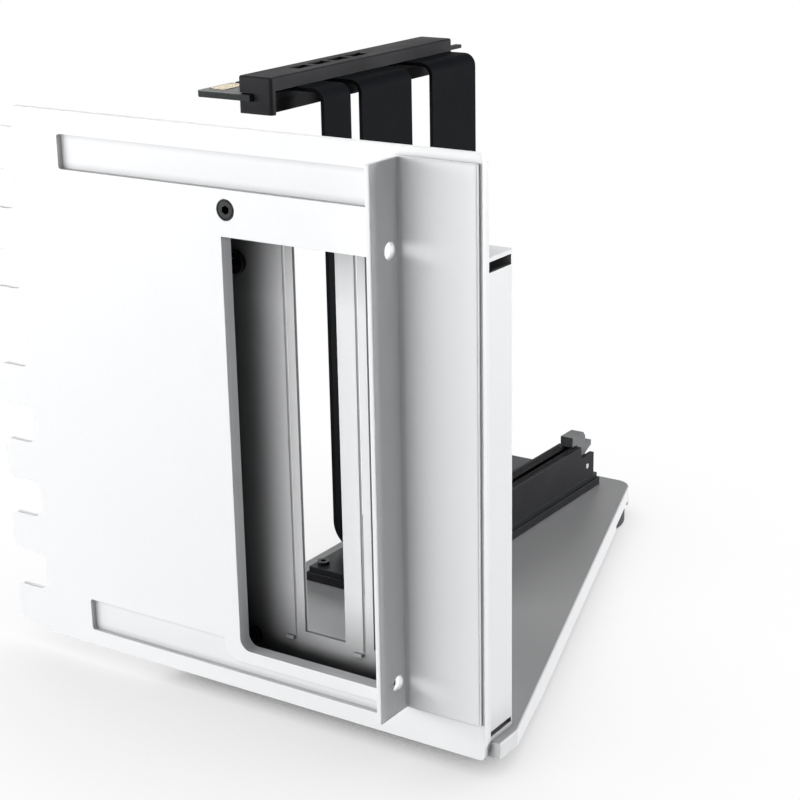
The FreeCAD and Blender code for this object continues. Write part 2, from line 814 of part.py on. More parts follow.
def socket_latch():
    """Lever that tips about its pin and hooks over the end of the card slot."""
    width = S.socket_width - (S.tower_wall + S.latch_clearance) * 2
    pivot_y, pivot_z = latch_pivot()
    body = new_body("socket_latch", -S.socket_centre - width / 2, pivot_y, pivot_z)
    profile = sketch_on(body, "YZ_Plane", "latch_profile")
    over = S.socket_height - S.latch_pivot_up + S.latch_clearance
    inner = -S.latch_pivot_back + S.latch_clearance
    half = S.latch_heel
    heel = -S.latch_heel_drop
    thumb_out = half + S.latch_thumb
    thumb_low = S.latch_thumb_low
    hook_end = inner - S.latch_hook
    hook_top = over + S.latch_hook_height
    draw_outline(profile, [(-half, heel), (half, heel), (half, thumb_low),
                           (thumb_out, thumb_low + S.latch_thumb_rise),
                           (thumb_out, thumb_low + S.latch_thumb_rise * 2),
                           (half, thumb_low + S.latch_thumb_rise * 2),
                           (half, over + S.latch_hook_height / 2), (half / 4, hook_top),
                           (hook_end, hook_top), (hook_end, over), (inner, over), (inner, thumb_low)])
    lever = pad(body, profile, width)
    fillet(body, lever, edges_at(lever.Shape, 0, [(-half, heel), (half, heel)]), S.latch_round)
    hole = sketch_on(body, "YZ_Plane", "latch_pin_hole")
    draw_circle(hole, 0, 0, S.pin_radius + S.pin_clearance)
    pocket(body, hole)


def latch_pin():
    pivot_y, pivot_z = latch_pivot()
    start = (-S.socket_centre - S.socket_width / 2, pivot_y, pivot_z)
    node(cylinder("latch_pin_rod", start, S.pin_radius, S.socket_width, "+X"), "latch_pin")


def ribbons():
    """Front edge and width of each flat cable."""
    return [(S.ribbon_1_front, S.ribbon_1_width), (S.ribbon_2_front, S.ribbon_2_width),
            (S.ribbon_3_front, S.ribbon_3_width)]


def ribbon_top():
    """Height of the ribbons' middle where they enter the plug."""
    return S.plug_top - S.plug_band - S.ribbon_gap - S.ribbon_thickness / 2


def ribbon_path(front):
    """Middle line of a ribbon: off the board, round a bend, up, and round a bend to the plug."""
    low = float(board_top() + S.ribbon_thickness / 2)
    high = float(ribbon_top())
    wall = -float(S.ribbon_wall_left)
    bend = float(S.ribbon_bend)
    fold = float(S.ribbon_top_bend)
    start = wall + bend + float(S.ribbon_entry)
    end = -float(S.plug_right + S.plug_recess + S.ribbon_entry)
    quarter = math.sqrt(0.5)

    def at(x, z):
        return FreeCAD.Vector(x, float(front), z)

    board_run = Part.LineSegment(at(start, low), at(wall + bend, low))
    lower = Part.Arc(board_run.EndPoint, at(wall + bend * (1 - quarter), low + bend * (1 - quarter)),
                     at(wall, low + bend))
    upright = Part.LineSegment(lower.EndPoint, at(wall, high - fold))
    upper = Part.Arc(upright.EndPoint, at(wall - fold * (1 - quarter), high - fold * (1 - quarter)),
                     at(wall - fold, high))
    plug_run = Part.LineSegment(upper.EndPoint, at(end, high))
    return Part.Wire([run.toShape() for run in (board_run, lower, upright, upper, plug_run)])


def ribbon_cables():
    """Flat shielded cables that stand in an S between the riser's board and the plug."""
    thick = float(S.ribbon_thickness)
    for index, (front, width) in enumerate(ribbons(), start=1):
        path = ribbon_path(front)
        start = path.Edges[0].Vertexes[0].Point
        low = start - FreeCAD.Vector(0, 0, thick / 2)
        high = start + FreeCAD.Vector(0, 0, thick / 2)
        across = FreeCAD.Vector(0, float(width), 0)
        outline = Part.makePolygon([low, low + across, high + across, high, low])
        ribbon = path.makePipeShell([outline], True, False)
        expected = path.Length * thick * float(width)
        print(f"ribbon_{index} length {path.Length:.1f} volume ratio {ribbon.Volume / expected:.4f}")
        solid_node(f"ribbon_{index}", ribbon)


def ribbon_clamp():
    """Bar screwed to the board that holds the three ribbons down."""
    right = -S.ribbon_wall_left + S.ribbon_bend + S.clamp_width
    front = S.ribbon_1_front - S.clamp_reach
    rear = S.ribbon_3_front + S.ribbon_3_width + S.clamp_reach
    height = S.ribbon_thickness + S.clamp_height
    bar = box("clamp_block", (right - S.clamp_width, front, board_top()),
              (S.clamp_width, rear - front, height))
    gap = S.ribbon_gap
    notches = [box(f"clamp_notch_{index}", (right - S.clamp_width, start - gap, board_top()),
                   (S.clamp_width, width + gap * 2, S.ribbon_thickness + gap))
               for index, (start, width) in enumerate(ribbons())]
    node(without("clamp_part", bar, notches), "ribbon_clamp")


def plug_low():
    return S.plug_top - S.plug_height


def plug_board_low():
    return ribbon_top() - S.ribbon_thickness / 2 - S.board_thickness


def plug_screw_spots():
    middle = -S.plug_right - S.plug_width + S.plug_screw_inset
    return [(middle, S.plug_front + S.plug_screw_end),
            (middle, S.plug_front + S.plug_length - S.plug_screw_end)]


def plug_cover():
    """Upper shell of the plug: a band over the ribbons, full-height ends and shallow recesses on top."""
    left = -(S.plug_right + S.plug_width)
    under = plug_board_low() + S.board_thickness
    rear = S.plug_front + S.plug_length
    band = box("plug_band_block", (left, S.plug_front, under),
               (S.plug_width, S.plug_length, S.plug_top - under))
    ends = [box(f"plug_end_{index}", (left, y, plug_low()), (S.plug_width, S.plug_end, S.plug_height))
            for index, y in enumerate((S.plug_front, rear - S.plug_end))]
    rounded = rounded_block("plug_cover_rounded", fused("plug_cover_raw", [band] + ends),
                            (left, -S.plug_right), (S.plug_front, rear), S.plug_top)
    tongue = box("plug_tongue", (-S.plug_right - S.tongue_side - S.tongue_width, rear - S.plug_end,
                                 S.plug_top - S.plug_band),
                 (S.tongue_width, S.plug_end + S.tongue_length, S.tongue_height))
    mouth = box("ribbon_mouth", (left + S.plug_wall, S.plug_front + S.plug_end, under),
                (S.plug_width - S.plug_wall, S.plug_length - S.plug_end * 2,
                 S.ribbon_thickness + S.ribbon_gap))
    gap = S.ear_clearance
    ear_slot = box("board_ear_slot", (left, S.plug_front, plug_board_low() - gap),
                   (S.plug_ear + gap, S.plug_end, S.board_thickness + gap * 2))
    tools = [mouth, ear_slot]
    recess_left = -S.plug_right - S.plug_width / 2 - S.recess_width / 2
    for index in range(int(S.recess_count.number)):
        front = S.plug_front + S.recess_front + S.recess_pitch * index
        tools.append(box(f"cover_recess_{index}", (recess_left, front, S.plug_top - S.recess_depth),
                         (S.recess_width, S.recess_length, S.recess_depth)))
    for index, (x, y) in enumerate(plug_screw_spots()):
        tools.append(cylinder(f"cover_screw_hole_{index}", (x, y, under), S.small_screw_radius,
                              S.plug_top - under - S.recess_depth))
    node(without("plug_cover_part", fused("plug_cover_whole", [rounded, tongue]), tools), "plug_cover")


def rounded_block(name, block, sides, ends, top):
    """Round a block's four upright corners, and more finely the edges of its top."""
    doc.recompute()
    datum_x, datum_y, datum_z = origin()
    sides = [x - datum_x for x in sides]
    ends = [y - datum_y for y in ends]
    top = top - datum_z
    corners = edges_at(block.Shape, 2, [(x, y) for x in sides for y in ends])
    ridges = edges_at(block.Shape, 1, [(x, top) for x in sides])
    ridges += edges_at(block.Shape, 0, [(y, top) for y in ends])
    rounded = doc.addObject("Part::Fillet", name)
    rounded.Base = block
    rounded.Edges = [(int(edge[4:]), float(radius), float(radius))
                     for names, radius in ((corners, S.plug_corner), (ridges, S.plug_edge))
                     for edge in names]
    doc.recompute()
    return rounded


def plug_base():
    """Lower shell of the plug, set back under the band."""
    left = -(S.plug_right + S.plug_width)
    low = plug_low()
    front = S.plug_front + S.plug_end
    height = plug_board_low() - low
    block = box("plug_base_block", (left, front, low),
                (S.plug_width - S.plug_recess, S.plug_length - S.plug_end * 2, height))
    holes = [cylinder(f"base_screw_hole_{index}", (x, y, low), S.small_screw_radius, height)
             for index, (x, y) in enumerate(plug_screw_spots())]
    node(without("plug_base_part", block, holes), "plug_base")


def blade_notch_front():
    return S.blade_front + S.blade_margin + S.key_distance - S.card_slot_end


def plug_board():
    """Board with the edge connector's blade, its key notch and two screw holes."""
    body = new_body("plug_board", 0, 0, plug_board_low())
    left = -(S.plug_right + S.plug_width)
    right = -(S.plug_right + S.plug_recess)
    tip = left - S.blade_reach
    front = S.plug_front + S.plug_end
    rear = S.plug_front + S.plug_length - S.plug_end
    blade_rear = S.blade_front + S.blade_length
    cut = S.blade_chamfer
    plan = sketch_on(body, "XY_Plane", "plug_board_plan")
    notch = blade_notch_front()
    depth = tip + S.blade_notch_depth
    draw_outline(plan, [(right, front), (right, rear), (left, rear), (left, blade_rear),
                        (tip + cut, blade_rear), (tip, blade_rear - cut), (tip, notch + S.key_width),
                        (depth, notch + S.key_width), (depth, notch), (tip, notch),
                        (tip, S.blade_front + cut), (tip + cut, S.blade_front),
                        (left + S.plug_ear, S.blade_front), (left + S.plug_ear, front)])
    pad(body, plan, S.board_thickness)
    holes = sketch_on(body, "XY_Plane", "plug_board_holes")
    for x, y in plug_screw_spots():
        draw_circle(holes, x, y, S.small_screw_radius)
    pocket(body, holes)


def plug_fingers():
    """Gold contact bands on both faces of the blade, parted by the key notch."""
    tip = -(S.plug_right + S.plug_width + S.blade_reach)
    notch = blade_notch_front()
    front = S.blade_front + S.blade_margin
    rear = S.blade_front + S.blade_length - S.blade_margin
    spans = [(front, notch - S.finger_margin - front),
             (notch + S.key_width + S.finger_margin, rear - notch - S.key_width - S.finger_margin)]
    low = plug_board_low()
    bands = []
    for index, (start, length) in enumerate(spans):
        for side, z in enumerate((low - S.finger_thickness, low + S.board_thickness)):
            bands.append(box(f"finger_band_{index}_{side}", (tip + S.finger_margin, start, z),
                             (S.finger_length, length, S.finger_thickness)))
    group = doc.addObject("Part::Compound", "finger_bands")
    group.Links = bands
    node(group, "plug_fingers")


def screw(base, direction, head_radius, head_height, radius, length):
    """Screw with a hexagon recess: the base lies under its head and the direction is the shank's."""
    axis = FreeCAD.Vector(*direction)
    start = FreeCAD.Vector(*[float(value) for value in base])
    top = start - axis * float(head_height)
    head = Part.makeCylinder(float(head_radius), float(head_height), top, axis)
    shank = Part.makeCylinder(float(radius), float(length), start, axis)
    across = FreeCAD.Vector(0, 0, 1) if abs(axis.z) < 0.5 else FreeCAD.Vector(1, 0, 0)
    corners = []
    for index in range(7):
        turn = FreeCAD.Rotation(axis, 60 * index)
        corners.append(top + turn.multVec(across) * float(head_radius) * float(S.drive_share))
    drive = Part.Face(Part.makePolygon(corners)).extrude(axis * float(head_height) * float(S.drive_share))
    return head.fuse(shank).cut(drive).removeSplitter().Solids[0]


def plate_screw():
    """Black screw whose head lies flush in the plate."""
    spot = (-S.plate_screw_left, S.plate_sheet, plate_screw_height())
    solid_node("plate_screw", screw(spot, (0, 1, 0), S.plate_screw_hole / 2 - S.head_clearance,
                                    S.plate_sheet, S.screw_radius,
                                    S.backing_sheet_thickness + S.screw_end))


def panel_screws():
    """Black screws in the slot panel's left side."""
    group = []
    for z in (S.panel_screw_low, shelf_top() - S.panel_screw_drop):
        spot = (-S.panel_left + S.panel_screw_inset, S.panel_face, z)
        group.append(screw(spot, (0, 1, 0), S.head_radius, S.head_height, S.screw_radius,
                           S.panel_sheet + S.screw_end))
    solid_node("panel_screws", Part.makeCompound(group))


def tray_screw_spots():
    """Plan positions of the screws that join the panel's bottom flange to the tray."""
    span = S.panel_left - S.tray_screw_inset * 2
    return [(-S.panel_left + S.tray_screw_inset + span * step / 2, S.tray_screw_back) for step in range(3)]


def tray_screws():
    group = []
    for x, y in tray_screw_spots():
        group.append(screw((x, y, S.tray_top + S.panel_sheet), (0, 0, -1), S.small_head_radius,
                           S.small_head_height, S.small_screw_radius, S.panel_sheet + S.tray_sheet))
    solid_node("tray_screws", Part.makeCompound(group))


def riser_screws():
    group = []
    for x, y in riser_screw_spots():
        length = board_top() - S.tray_top + S.tray_sheet
        group.append(screw((x, y, board_top()), (0, 0, -1), S.small_head_radius, S.small_head_height,
                           S.small_screw_radius, length))
    solid_node("riser_screws", Part.makeCompound(group))


def plug_screws():
    group = []
    for x, y in plug_screw_spots():
        length = S.plug_top - S.recess_depth - plug_low() - S.small_head_height
        base = (x, y, plug_low())
        group.append(screw(base, (0, 0, 1), S.small_head_radius, S.small_head_height,
                           S.small_screw_radius, length))
    solid_node("plug_screws", Part.makeCompound(group))


def main():
    rear_plate()
    backing_sheet()
    slot_panel()
    screw_flange()
    base_tray()
    rear_feet()
    riser_base()
    riser_board()
    socket_housing()
    socket_contacts()
    socket_latch()
    latch_pin()
    ribbon_cables()
    ribbon_clamp()
    plug_cover()
    plug_base()
    plug_board()
    plug_fingers()
    plate_screw()
    panel_screws()
    tray_screws()
    riser_screws()
    plug_screws()
    doc.recompute()
    for item in doc.Objects:
        if "Invalid" in item.State or "Error" in item.State:
            raise RuntimeError(f"{item.Label} failed: {item.State}")
    os.makedirs("parts", exist_ok=True)
    for item in NODES:
        shape = item.Shape
        if shape.isNull() or not shape.isValid():
            raise RuntimeError(item.Label + " has no valid shape")
        box = shape.BoundBox
        print(f"{item.Label:16s} solids {len(shape.Solids)} volume {shape.Volume:9.1f}"
              f" x {box.XMin:7.1f} {box.XMax:7.1f} y {box.YMin:6.1f} {box.YMax:6.1f}"
              f" z {box.ZMin:6.1f} {box.ZMax:6.1f}")
        shape.exportStep(os.path.join("parts", item.Label + ".step"))


main()
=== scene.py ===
# %% [markdown]
# A vertical graphics card mount, dressed for a studio picture.
# The solids arrive finished from the CAD model. They are sheet metal parts with a white powder
# coat, a black riser with its ribbon cables, and a few screws. This lesson gives every one of
# them its finish, adds the fine parts that a CAD model leaves out, and then lights the whole.
# Everything here is in metres, and +X runs right, +Y into the computer and +Z up.

# %% Load the frame and keep its size
import json
import math

import bmesh
import bpy
from mathutils import Matrix, Vector


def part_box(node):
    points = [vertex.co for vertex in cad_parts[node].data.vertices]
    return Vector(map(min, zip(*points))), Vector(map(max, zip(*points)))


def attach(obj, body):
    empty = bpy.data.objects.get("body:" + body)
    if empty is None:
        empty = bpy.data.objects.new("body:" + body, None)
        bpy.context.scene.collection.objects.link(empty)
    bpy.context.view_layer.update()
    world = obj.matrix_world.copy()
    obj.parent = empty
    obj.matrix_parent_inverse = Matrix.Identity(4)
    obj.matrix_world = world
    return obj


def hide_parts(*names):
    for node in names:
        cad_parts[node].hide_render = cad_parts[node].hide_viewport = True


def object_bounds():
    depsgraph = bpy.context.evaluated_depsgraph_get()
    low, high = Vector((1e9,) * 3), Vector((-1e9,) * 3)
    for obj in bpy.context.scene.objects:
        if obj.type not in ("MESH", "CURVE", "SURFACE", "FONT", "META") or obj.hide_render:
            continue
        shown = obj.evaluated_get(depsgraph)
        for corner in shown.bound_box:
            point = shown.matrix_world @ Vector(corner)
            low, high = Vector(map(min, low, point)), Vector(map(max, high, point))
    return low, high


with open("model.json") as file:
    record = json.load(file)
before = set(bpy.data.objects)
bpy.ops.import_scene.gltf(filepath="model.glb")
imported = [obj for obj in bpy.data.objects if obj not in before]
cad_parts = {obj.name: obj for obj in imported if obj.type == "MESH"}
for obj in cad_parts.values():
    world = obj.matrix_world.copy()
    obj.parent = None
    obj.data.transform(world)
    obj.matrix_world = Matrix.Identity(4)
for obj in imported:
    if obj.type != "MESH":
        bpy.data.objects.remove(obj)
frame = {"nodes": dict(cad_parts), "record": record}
cad_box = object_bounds()
nodes = frame["nodes"]
MM = 0.001      # one millimetre in Blender's metres

# %% [markdown]
# The camera comes first, because the picture decides how much detail each place needs.
# Its place and turn were fitted to the photograph's corners. A long lens from about 0.41 m away
# keeps the plate's edges nearly parallel. A camera looks down its own -Z, so it is first stood
# upright with a turn about X, swung round Z by its azimuth, and last rolled about its own axis.

# %% Camera
CAMERA_PLACE = Vector((0.21828, -0.32176, 0.14422))
CAMERA_AZIMUTH = math.radians(33.772)
CAMERA_ELEVATION = math.radians(18.091)
CAMERA_ROLL = math.radians(-1.073)

camera_data = bpy.data.cameras.new("studio_camera")
camera_data.sensor_width = 36.0
camera_data.lens = 84.86
camera_data.clip_start = 0.01
camera = bpy.data.objects.new("studio_camera", camera_data)
bpy.context.scene.collection.objects.link(camera)
turn = (Matrix.Rotation(CAMERA_AZIMUTH, 4, "Z")
        @ Matrix.Rotation(math.pi / 2 - CAMERA_ELEVATION, 4, "X")
        @ Matrix.Rotation(CAMERA_ROLL, 4, "Z"))
camera.matrix_world = Matrix.Translation(CAMERA_PLACE) @ turn
bpy.context.scene.camera = camera
bpy.context.scene.view_settings.view_transform = "Standard"
print("camera stands", round(CAMERA_PLACE.length, 3), "m from the origin")

# %% [markdown]
# A finish is easier to read when its parts have names. Three effects are used by several
# materials: the orange peel of a powder coat or a moulded skin, the slightly rubbed edges of
# everything that is handled, which also carry a painted highlight, and the faint dull patches that
# fingers and cloths leave. Each is a node group, built once. The helper below makes an empty group
# with named sockets.

# %% Node group helper
def new_group(name, inputs, outputs):
    """An empty shader group. Inputs are (name, kind, default), outputs are (name, kind)."""
    group = bpy.data.node_groups.new(name, "ShaderNodeTree")
    for label, kind, default in inputs:
        socket = group.interface.new_socket(label, in_out="INPUT", socket_type=kind)
        if default is not None:
            socket.default_value = default
    for label, kind in outputs:
        group.interface.new_socket(label, in_out="OUTPUT", socket_type=kind)
    return group, group.nodes.new("NodeGroupInput"), group.nodes.new("NodeGroupOutput")


def math_node(tree, operation, first, second=None, clamp=False):
    """A Math node whose inputs are sockets or plain numbers."""
    item = tree.nodes.new("ShaderNodeMath")
    item.operation = operation
    item.use_clamp = clamp
    for slot, value in zip(item.inputs, (first, second)):
        if value is None:
            continue
        if isinstance(value, (int, float)):
            slot.default_value = value
        else:
            tree.links.new(value, slot)
    return item.outputs[0]


# %% [markdown]
# Orange peel: powder melts into a skin with a soft ripple about a millimetre across, and a much
# finer grit on top of it. Two noises at different scales give both. The group also returns the
# broad ripple as a mask, so that the gloss can change with it.

# %% Surface grain group
GRIT_FINENESS = 4.5     # how much finer the grit is than the ripple

grain_group, grain_in, grain_out = new_group(
    "surface grain",
    [("Vector", "NodeSocketVector", None), ("Ripples per metre", "NodeSocketFloat", 900.0),
     ("Grit share", "NodeSocketFloat", 0.35)],
    [("Height", "NodeSocketFloat"), ("Ripple", "NodeSocketFloat")])
ripple = grain_group.nodes.new("ShaderNodeTexNoise")
ripple.inputs["Detail"].default_value = 2.0
grit = grain_group.nodes.new("ShaderNodeTexNoise")
grit.inputs["Detail"].default_value = 3.0
grain_group.links.new(grain_in.outputs["Vector"], ripple.inputs["Vector"])
grain_group.links.new(grain_in.outputs["Vector"], grit.inputs["Vector"])
grain_group.links.new(grain_in.outputs["Ripples per metre"], ripple.inputs["Scale"])
grit_scale = math_node(grain_group, "MULTIPLY", grain_in.outputs["Ripples per metre"],
                       GRIT_FINENESS)
grain_group.links.new(grit_scale, grit.inputs["Scale"])
grit_part = math_node(grain_group, "MULTIPLY", grit.outputs["Fac"], grain_in.outputs["Grit share"])
grain_height = math_node(grain_group, "ADD", ripple.outputs["Fac"], grit_part)
grain_group.links.new(grain_height, grain_out.inputs["Height"])
grain_group.links.new(ripple.outputs["Fac"], grain_out.inputs["Ripple"])
print("group:", grain_group.name)

# %% [markdown]
# Edge wear and painted highlight: on a coated sheet the skin is thinnest at the folds and rims,
# and hands rub there first, and the lighter rim colour is also a painted highlight. A Bevel node
# looks a fraction of a millimetre round each point. Where its normal differs from the real one
# there is an edge. Noise breaks the line up, so the wear and the highlight aren't drawn evenly.

# %% Edge wear and highlight group
EDGE_GAIN = 6.0     # a dot product that is a sixth below one counts as a full edge

wear_and_highlight_group, wear_and_highlight_in, wear_and_highlight_out = new_group(
    "edge wear and painted highlight",
    [("Vector", "NodeSocketVector", None), ("Reach", "NodeSocketFloat", 0.0004),
     ("Unevenness per metre", "NodeSocketFloat", 260.0)],
    [("Edge", "NodeSocketFloat")])
rounding = wear_and_highlight_group.nodes.new("ShaderNodeBevel")
rounding.samples = 4
wear_and_highlight_group.links.new(wear_and_highlight_in.outputs["Reach"], rounding.inputs["Radius"])
surface = wear_and_highlight_group.nodes.new("ShaderNodeNewGeometry")
alike = wear_and_highlight_group.nodes.new("ShaderNodeVectorMath")
alike.operation = "DOT_PRODUCT"
wear_and_highlight_group.links.new(rounding.outputs["Normal"], alike.inputs[0])
wear_and_highlight_group.links.new(surface.outputs["Normal"], alike.inputs[1])
turned = math_node(wear_and_highlight_group, "SUBTRACT", 1.0, alike.outputs["Value"], clamp=True)
edge_line = math_node(wear_and_highlight_group, "MULTIPLY", turned, EDGE_GAIN, clamp=True)
patches = wear_and_highlight_group.nodes.new("ShaderNodeTexNoise")
patches.inputs["Detail"].default_value = 4.0
wear_and_highlight_group.links.new(wear_and_highlight_in.outputs["Vector"], patches.inputs["Vector"])
wear_and_highlight_group.links.new(wear_and_highlight_in.outputs["Unevenness per metre"], patches.inputs["Scale"])
broken = math_node(wear_and_highlight_group, "MULTIPLY", edge_line, patches.outputs["Fac"])
wear_and_highlight_group.links.new(broken, wear_and_highlight_out.inputs["Edge"])
print("group:", wear_and_highlight_group.name)

# %% [markdown]
# Handling marks: broad, faint patches where a surface is a little duller. They are only strong
# enough to keep a large plate from looking like a computer's flat fill.

# %% Handling marks group
marks_group, marks_in, marks_out = new_group(
    "handling marks",
    [("Vector", "NodeSocketVector", None), ("Patches per metre", "NodeSocketFloat", 18.0)],
    [("Mark", "NodeSocketFloat")])
cloud = marks_group.nodes.new("ShaderNodeTexNoise")
cloud.inputs["Detail"].default_value = 5.0
cloud.inputs["Distortion"].default_value = 0.6
marks_group.links.new(marks_in.outputs["Vector"], cloud.inputs["Vector"])
marks_group.links.new(marks_in.outputs["Patches per metre"], cloud.inputs["Scale"])
spread = marks_group.nodes.new("ShaderNodeMapRange")
spread.inputs["From Min"].default_value = 0.35
spread.inputs["From Max"].default_value = 0.7
marks_group.links.new(cloud.outputs["Fac"], spread.inputs["Value"])
marks_group.links.new(spread.outputs["Result"], marks_out.inputs["Mark"])
print("group:", marks_group.name)

# %% [markdown]
# Painted corner shade: the colour darkens where two walls meet, where shade falls. An Ambient
# Occlusion node measures how open a point is, within a reach. Raised to a power, that becomes a
# mask which is 1 on open faces and falls off towards a corner. Small steps in a white sheet only
# show as lines in a bright studio because of this painted shade.

# %% Painted corner shade group
corner_shade_group, corner_shade_in, corner_shade_out = new_group(
    "painted corner shade",
    [("Reach", "NodeSocketFloat", 0.002), ("Contrast", "NodeSocketFloat", 1.5)],
    [("Open", "NodeSocketFloat")])
openness = corner_shade_group.nodes.new("ShaderNodeAmbientOcclusion")
openness.samples = 12
corner_shade_group.links.new(corner_shade_in.outputs["Reach"], openness.inputs["Distance"])
falloff = math_node(corner_shade_group, "POWER", openness.outputs["AO"], corner_shade_in.outputs["Contrast"])
corner_shade_group.links.new(falloff, corner_shade_out.inputs["Open"])
print("group:", corner_shade_group.name)

# %% [markdown]
# The materials share one recipe, so a function lays out the nodes: the groups, a mix that tints
# the edges and the ripples, a roughness that follows grain and marks, and a bump. What is the same
# all over, such as metalness or the specular level, is set on the shader itself.

# %% Finish recipe
def blend_colours(tree, mask, first, second):
    """A colour that runs from the first to the second as the mask rises."""
    item = tree.nodes.new("ShaderNodeMix")
    item.data_type = "RGBA"
    tree.links.new(mask, item.inputs["Factor"])
    for slot, value in ((item.inputs[6], first), (item.inputs[7], second)):
        if isinstance(value, tuple):
            slot.default_value = (*value, 1.0)
        else:
            tree.links.new(value, slot)
    return item.outputs[2]


def use_group(tree, group, vector=None, **values):
    """Place a group in a material; the values go to the inputs of those names."""
    item = tree.nodes.new("ShaderNodeGroup")
    item.node_tree = group
    if vector:
        tree.links.new(vector, item.inputs["Vector"])
    for label, value in values.items():
        item.inputs[label.replace("_", " ")].default_value = value
    return item


def finish(name, colour, edge_colour, roughness, ripples, depth, metallic=0.0, specular=0.5,
           tint=0.04, rim=0.14 * MM, edge_reach=0.4 * MM, edge_share=0.5, patches=18.0,
           roughness_swing=0.08, corners=None):
    """A finish with grain, rubbed edges that carry a painted highlight, and handling marks. Depth
    and rim are in metres. Corners, where given, are the reach, the contrast and the tone of the
    painted corner shade."""
    material = bpy.data.materials.new(name)
    material.use_nodes = True
    tree = material.node_tree
    shader = tree.nodes["Principled BSDF"]
    place = tree.nodes.new("ShaderNodeTexCoord").outputs["Object"]
    grain = use_group(tree, grain_group, place, Ripples_per_metre=ripples)
    rim_wear_and_highlight = use_group(tree, wear_and_highlight_group, place, Reach=edge_reach)
    marks = use_group(tree, marks_group, place, Patches_per_metre=patches)

    deeper = tuple(channel * (1.0 - tint) for channel in colour)
    mottle = math_node(tree, "MULTIPLY", marks.outputs["Mark"], grain.outputs["Ripple"])
    skin = blend_colours(tree, mottle, colour, deeper)
    # Painted shade: the colour darkens towards corners, where shade falls.
    if corners:
        reach, contrast, tone = corners
        deep = use_group(tree, corner_shade_group, Reach=reach, Contrast=contrast)
        painted_shade = tuple(channel * tone for channel in colour)
        skin = blend_colours(tree, deep.outputs["Open"], painted_shade, skin)
    # Lighter rims: partly rubbed wear, partly a painted highlight.
    edge_mask = math_node(tree, "MULTIPLY", rim_wear_and_highlight.outputs["Edge"], edge_share, clamp=True)
    tree.links.new(blend_colours(tree, edge_mask, skin, edge_colour), shader.inputs["Base Color"])

    swing = math_node(tree, "MULTIPLY", marks.outputs["Mark"], roughness_swing)
    uneven = math_node(tree, "MULTIPLY", grain.outputs["Ripple"], roughness_swing)
    swing = math_node(tree, "ADD", swing, uneven)
    rough = math_node(tree, "ADD", swing, roughness - roughness_swing)
    tree.links.new(rough, shader.inputs["Roughness"])

    bump = tree.nodes.new("ShaderNodeBump")
    bump.inputs["Strength"].default_value = 1.0
    bump.inputs["Distance"].default_value = depth
    tree.links.new(grain.outputs["Height"], bump.inputs["Height"])
    rounded = tree.nodes.new("ShaderNodeBevel")
    rounded.samples = 4
    rounded.inputs["Radius"].default_value = rim
    tree.links.new(rounded.outputs["Normal"], bump.inputs["Normal"])
    tree.links.new(bump.outputs["Normal"], shader.inputs["Normal"])
    shader.inputs["Metallic"].default_value = metallic
    shader.inputs["Specular IOR Level"].default_value = specular
    return material


# %% [markdown]
# White powder coat, in five versions. The outer sheets have the cleanest one. The screw flange is
# tumbled before it is coated, so its edges are rounder. The sheet behind the plate is a shade
# greyer. The tray is the same white coat made greyer again, as painted shade, and the slot panel
# has the darkest painted corner shade. The ripple is about a millimetre wide in all of them, and
# the rims go a little brighter, partly rubbed wear and partly a painted highlight.

# %% White coats
# In every coat the corners darken as painted shade, and the lighter rim colour is partly rubbed
# wear, partly a painted highlight.
WHITE, RUBBED_AND_LIT_WHITE = (0.74, 0.745, 0.755), (0.86, 0.865, 0.87)
POWDER = {"ripples": 950.0, "depth": 0.010 * MM}
white_coat = finish("white powder coat", WHITE, RUBBED_AND_LIT_WHITE, roughness=0.46, rim=0.15 * MM,
                    edge_reach=0.45 * MM, corners=(1.3 * MM, 1.2, 0.55), **POWDER)
flange_coat = finish("flange powder coat", WHITE, RUBBED_AND_LIT_WHITE, roughness=0.46, rim=0.7 * MM,
                     edge_reach=0.45 * MM, corners=(1.3 * MM, 1.0, 0.5), **POWDER)
backing_coat = finish("backing powder coat", (0.70, 0.705, 0.715), (0.80, 0.805, 0.81),
                      roughness=0.46, edge_reach=0.35 * MM, corners=(1.8 * MM, 1.6, 0.5), **POWDER)
# Painted shade: the tray's colour is the white coat darkened, because the tray lies in shade.
shaded_tray_coat = finish("tray powder coat in painted shade", (0.62, 0.625, 0.635), (0.78, 0.785, 0.79), roughness=0.46,
                   rim=0.15 * MM, edge_reach=0.45 * MM, corners=(1.3 * MM, 1.2, 0.55), **POWDER)
# The panel's long corner reach and low tone paint deep shade into the recess behind the window.
inner_coat = finish("inner powder coat", (0.67, 0.675, 0.685), (0.78, 0.785, 0.79), roughness=0.42,
                    edge_reach=0.35 * MM, corners=(19 * MM, 1.35, 0.05), **POWDER)
coats = (white_coat, flange_coat, backing_coat, shaded_tray_coat, inner_coat)
print("coats:", ", ".join(coat.name for coat in coats))

# %% [markdown]
# Black parts. The plug, the socket and the clamp are moulded in a spark-eroded tool, which leaves
# a fine matt grit. The latch is moulded in a dark grey. The screws are zinc coated and chromated
# black, so their edges show grey metal. Rubber is matt and dusty, and a shade lighter than the
# plastic. The lighter edges of all of them are partly rubbed wear and partly a painted highlight.

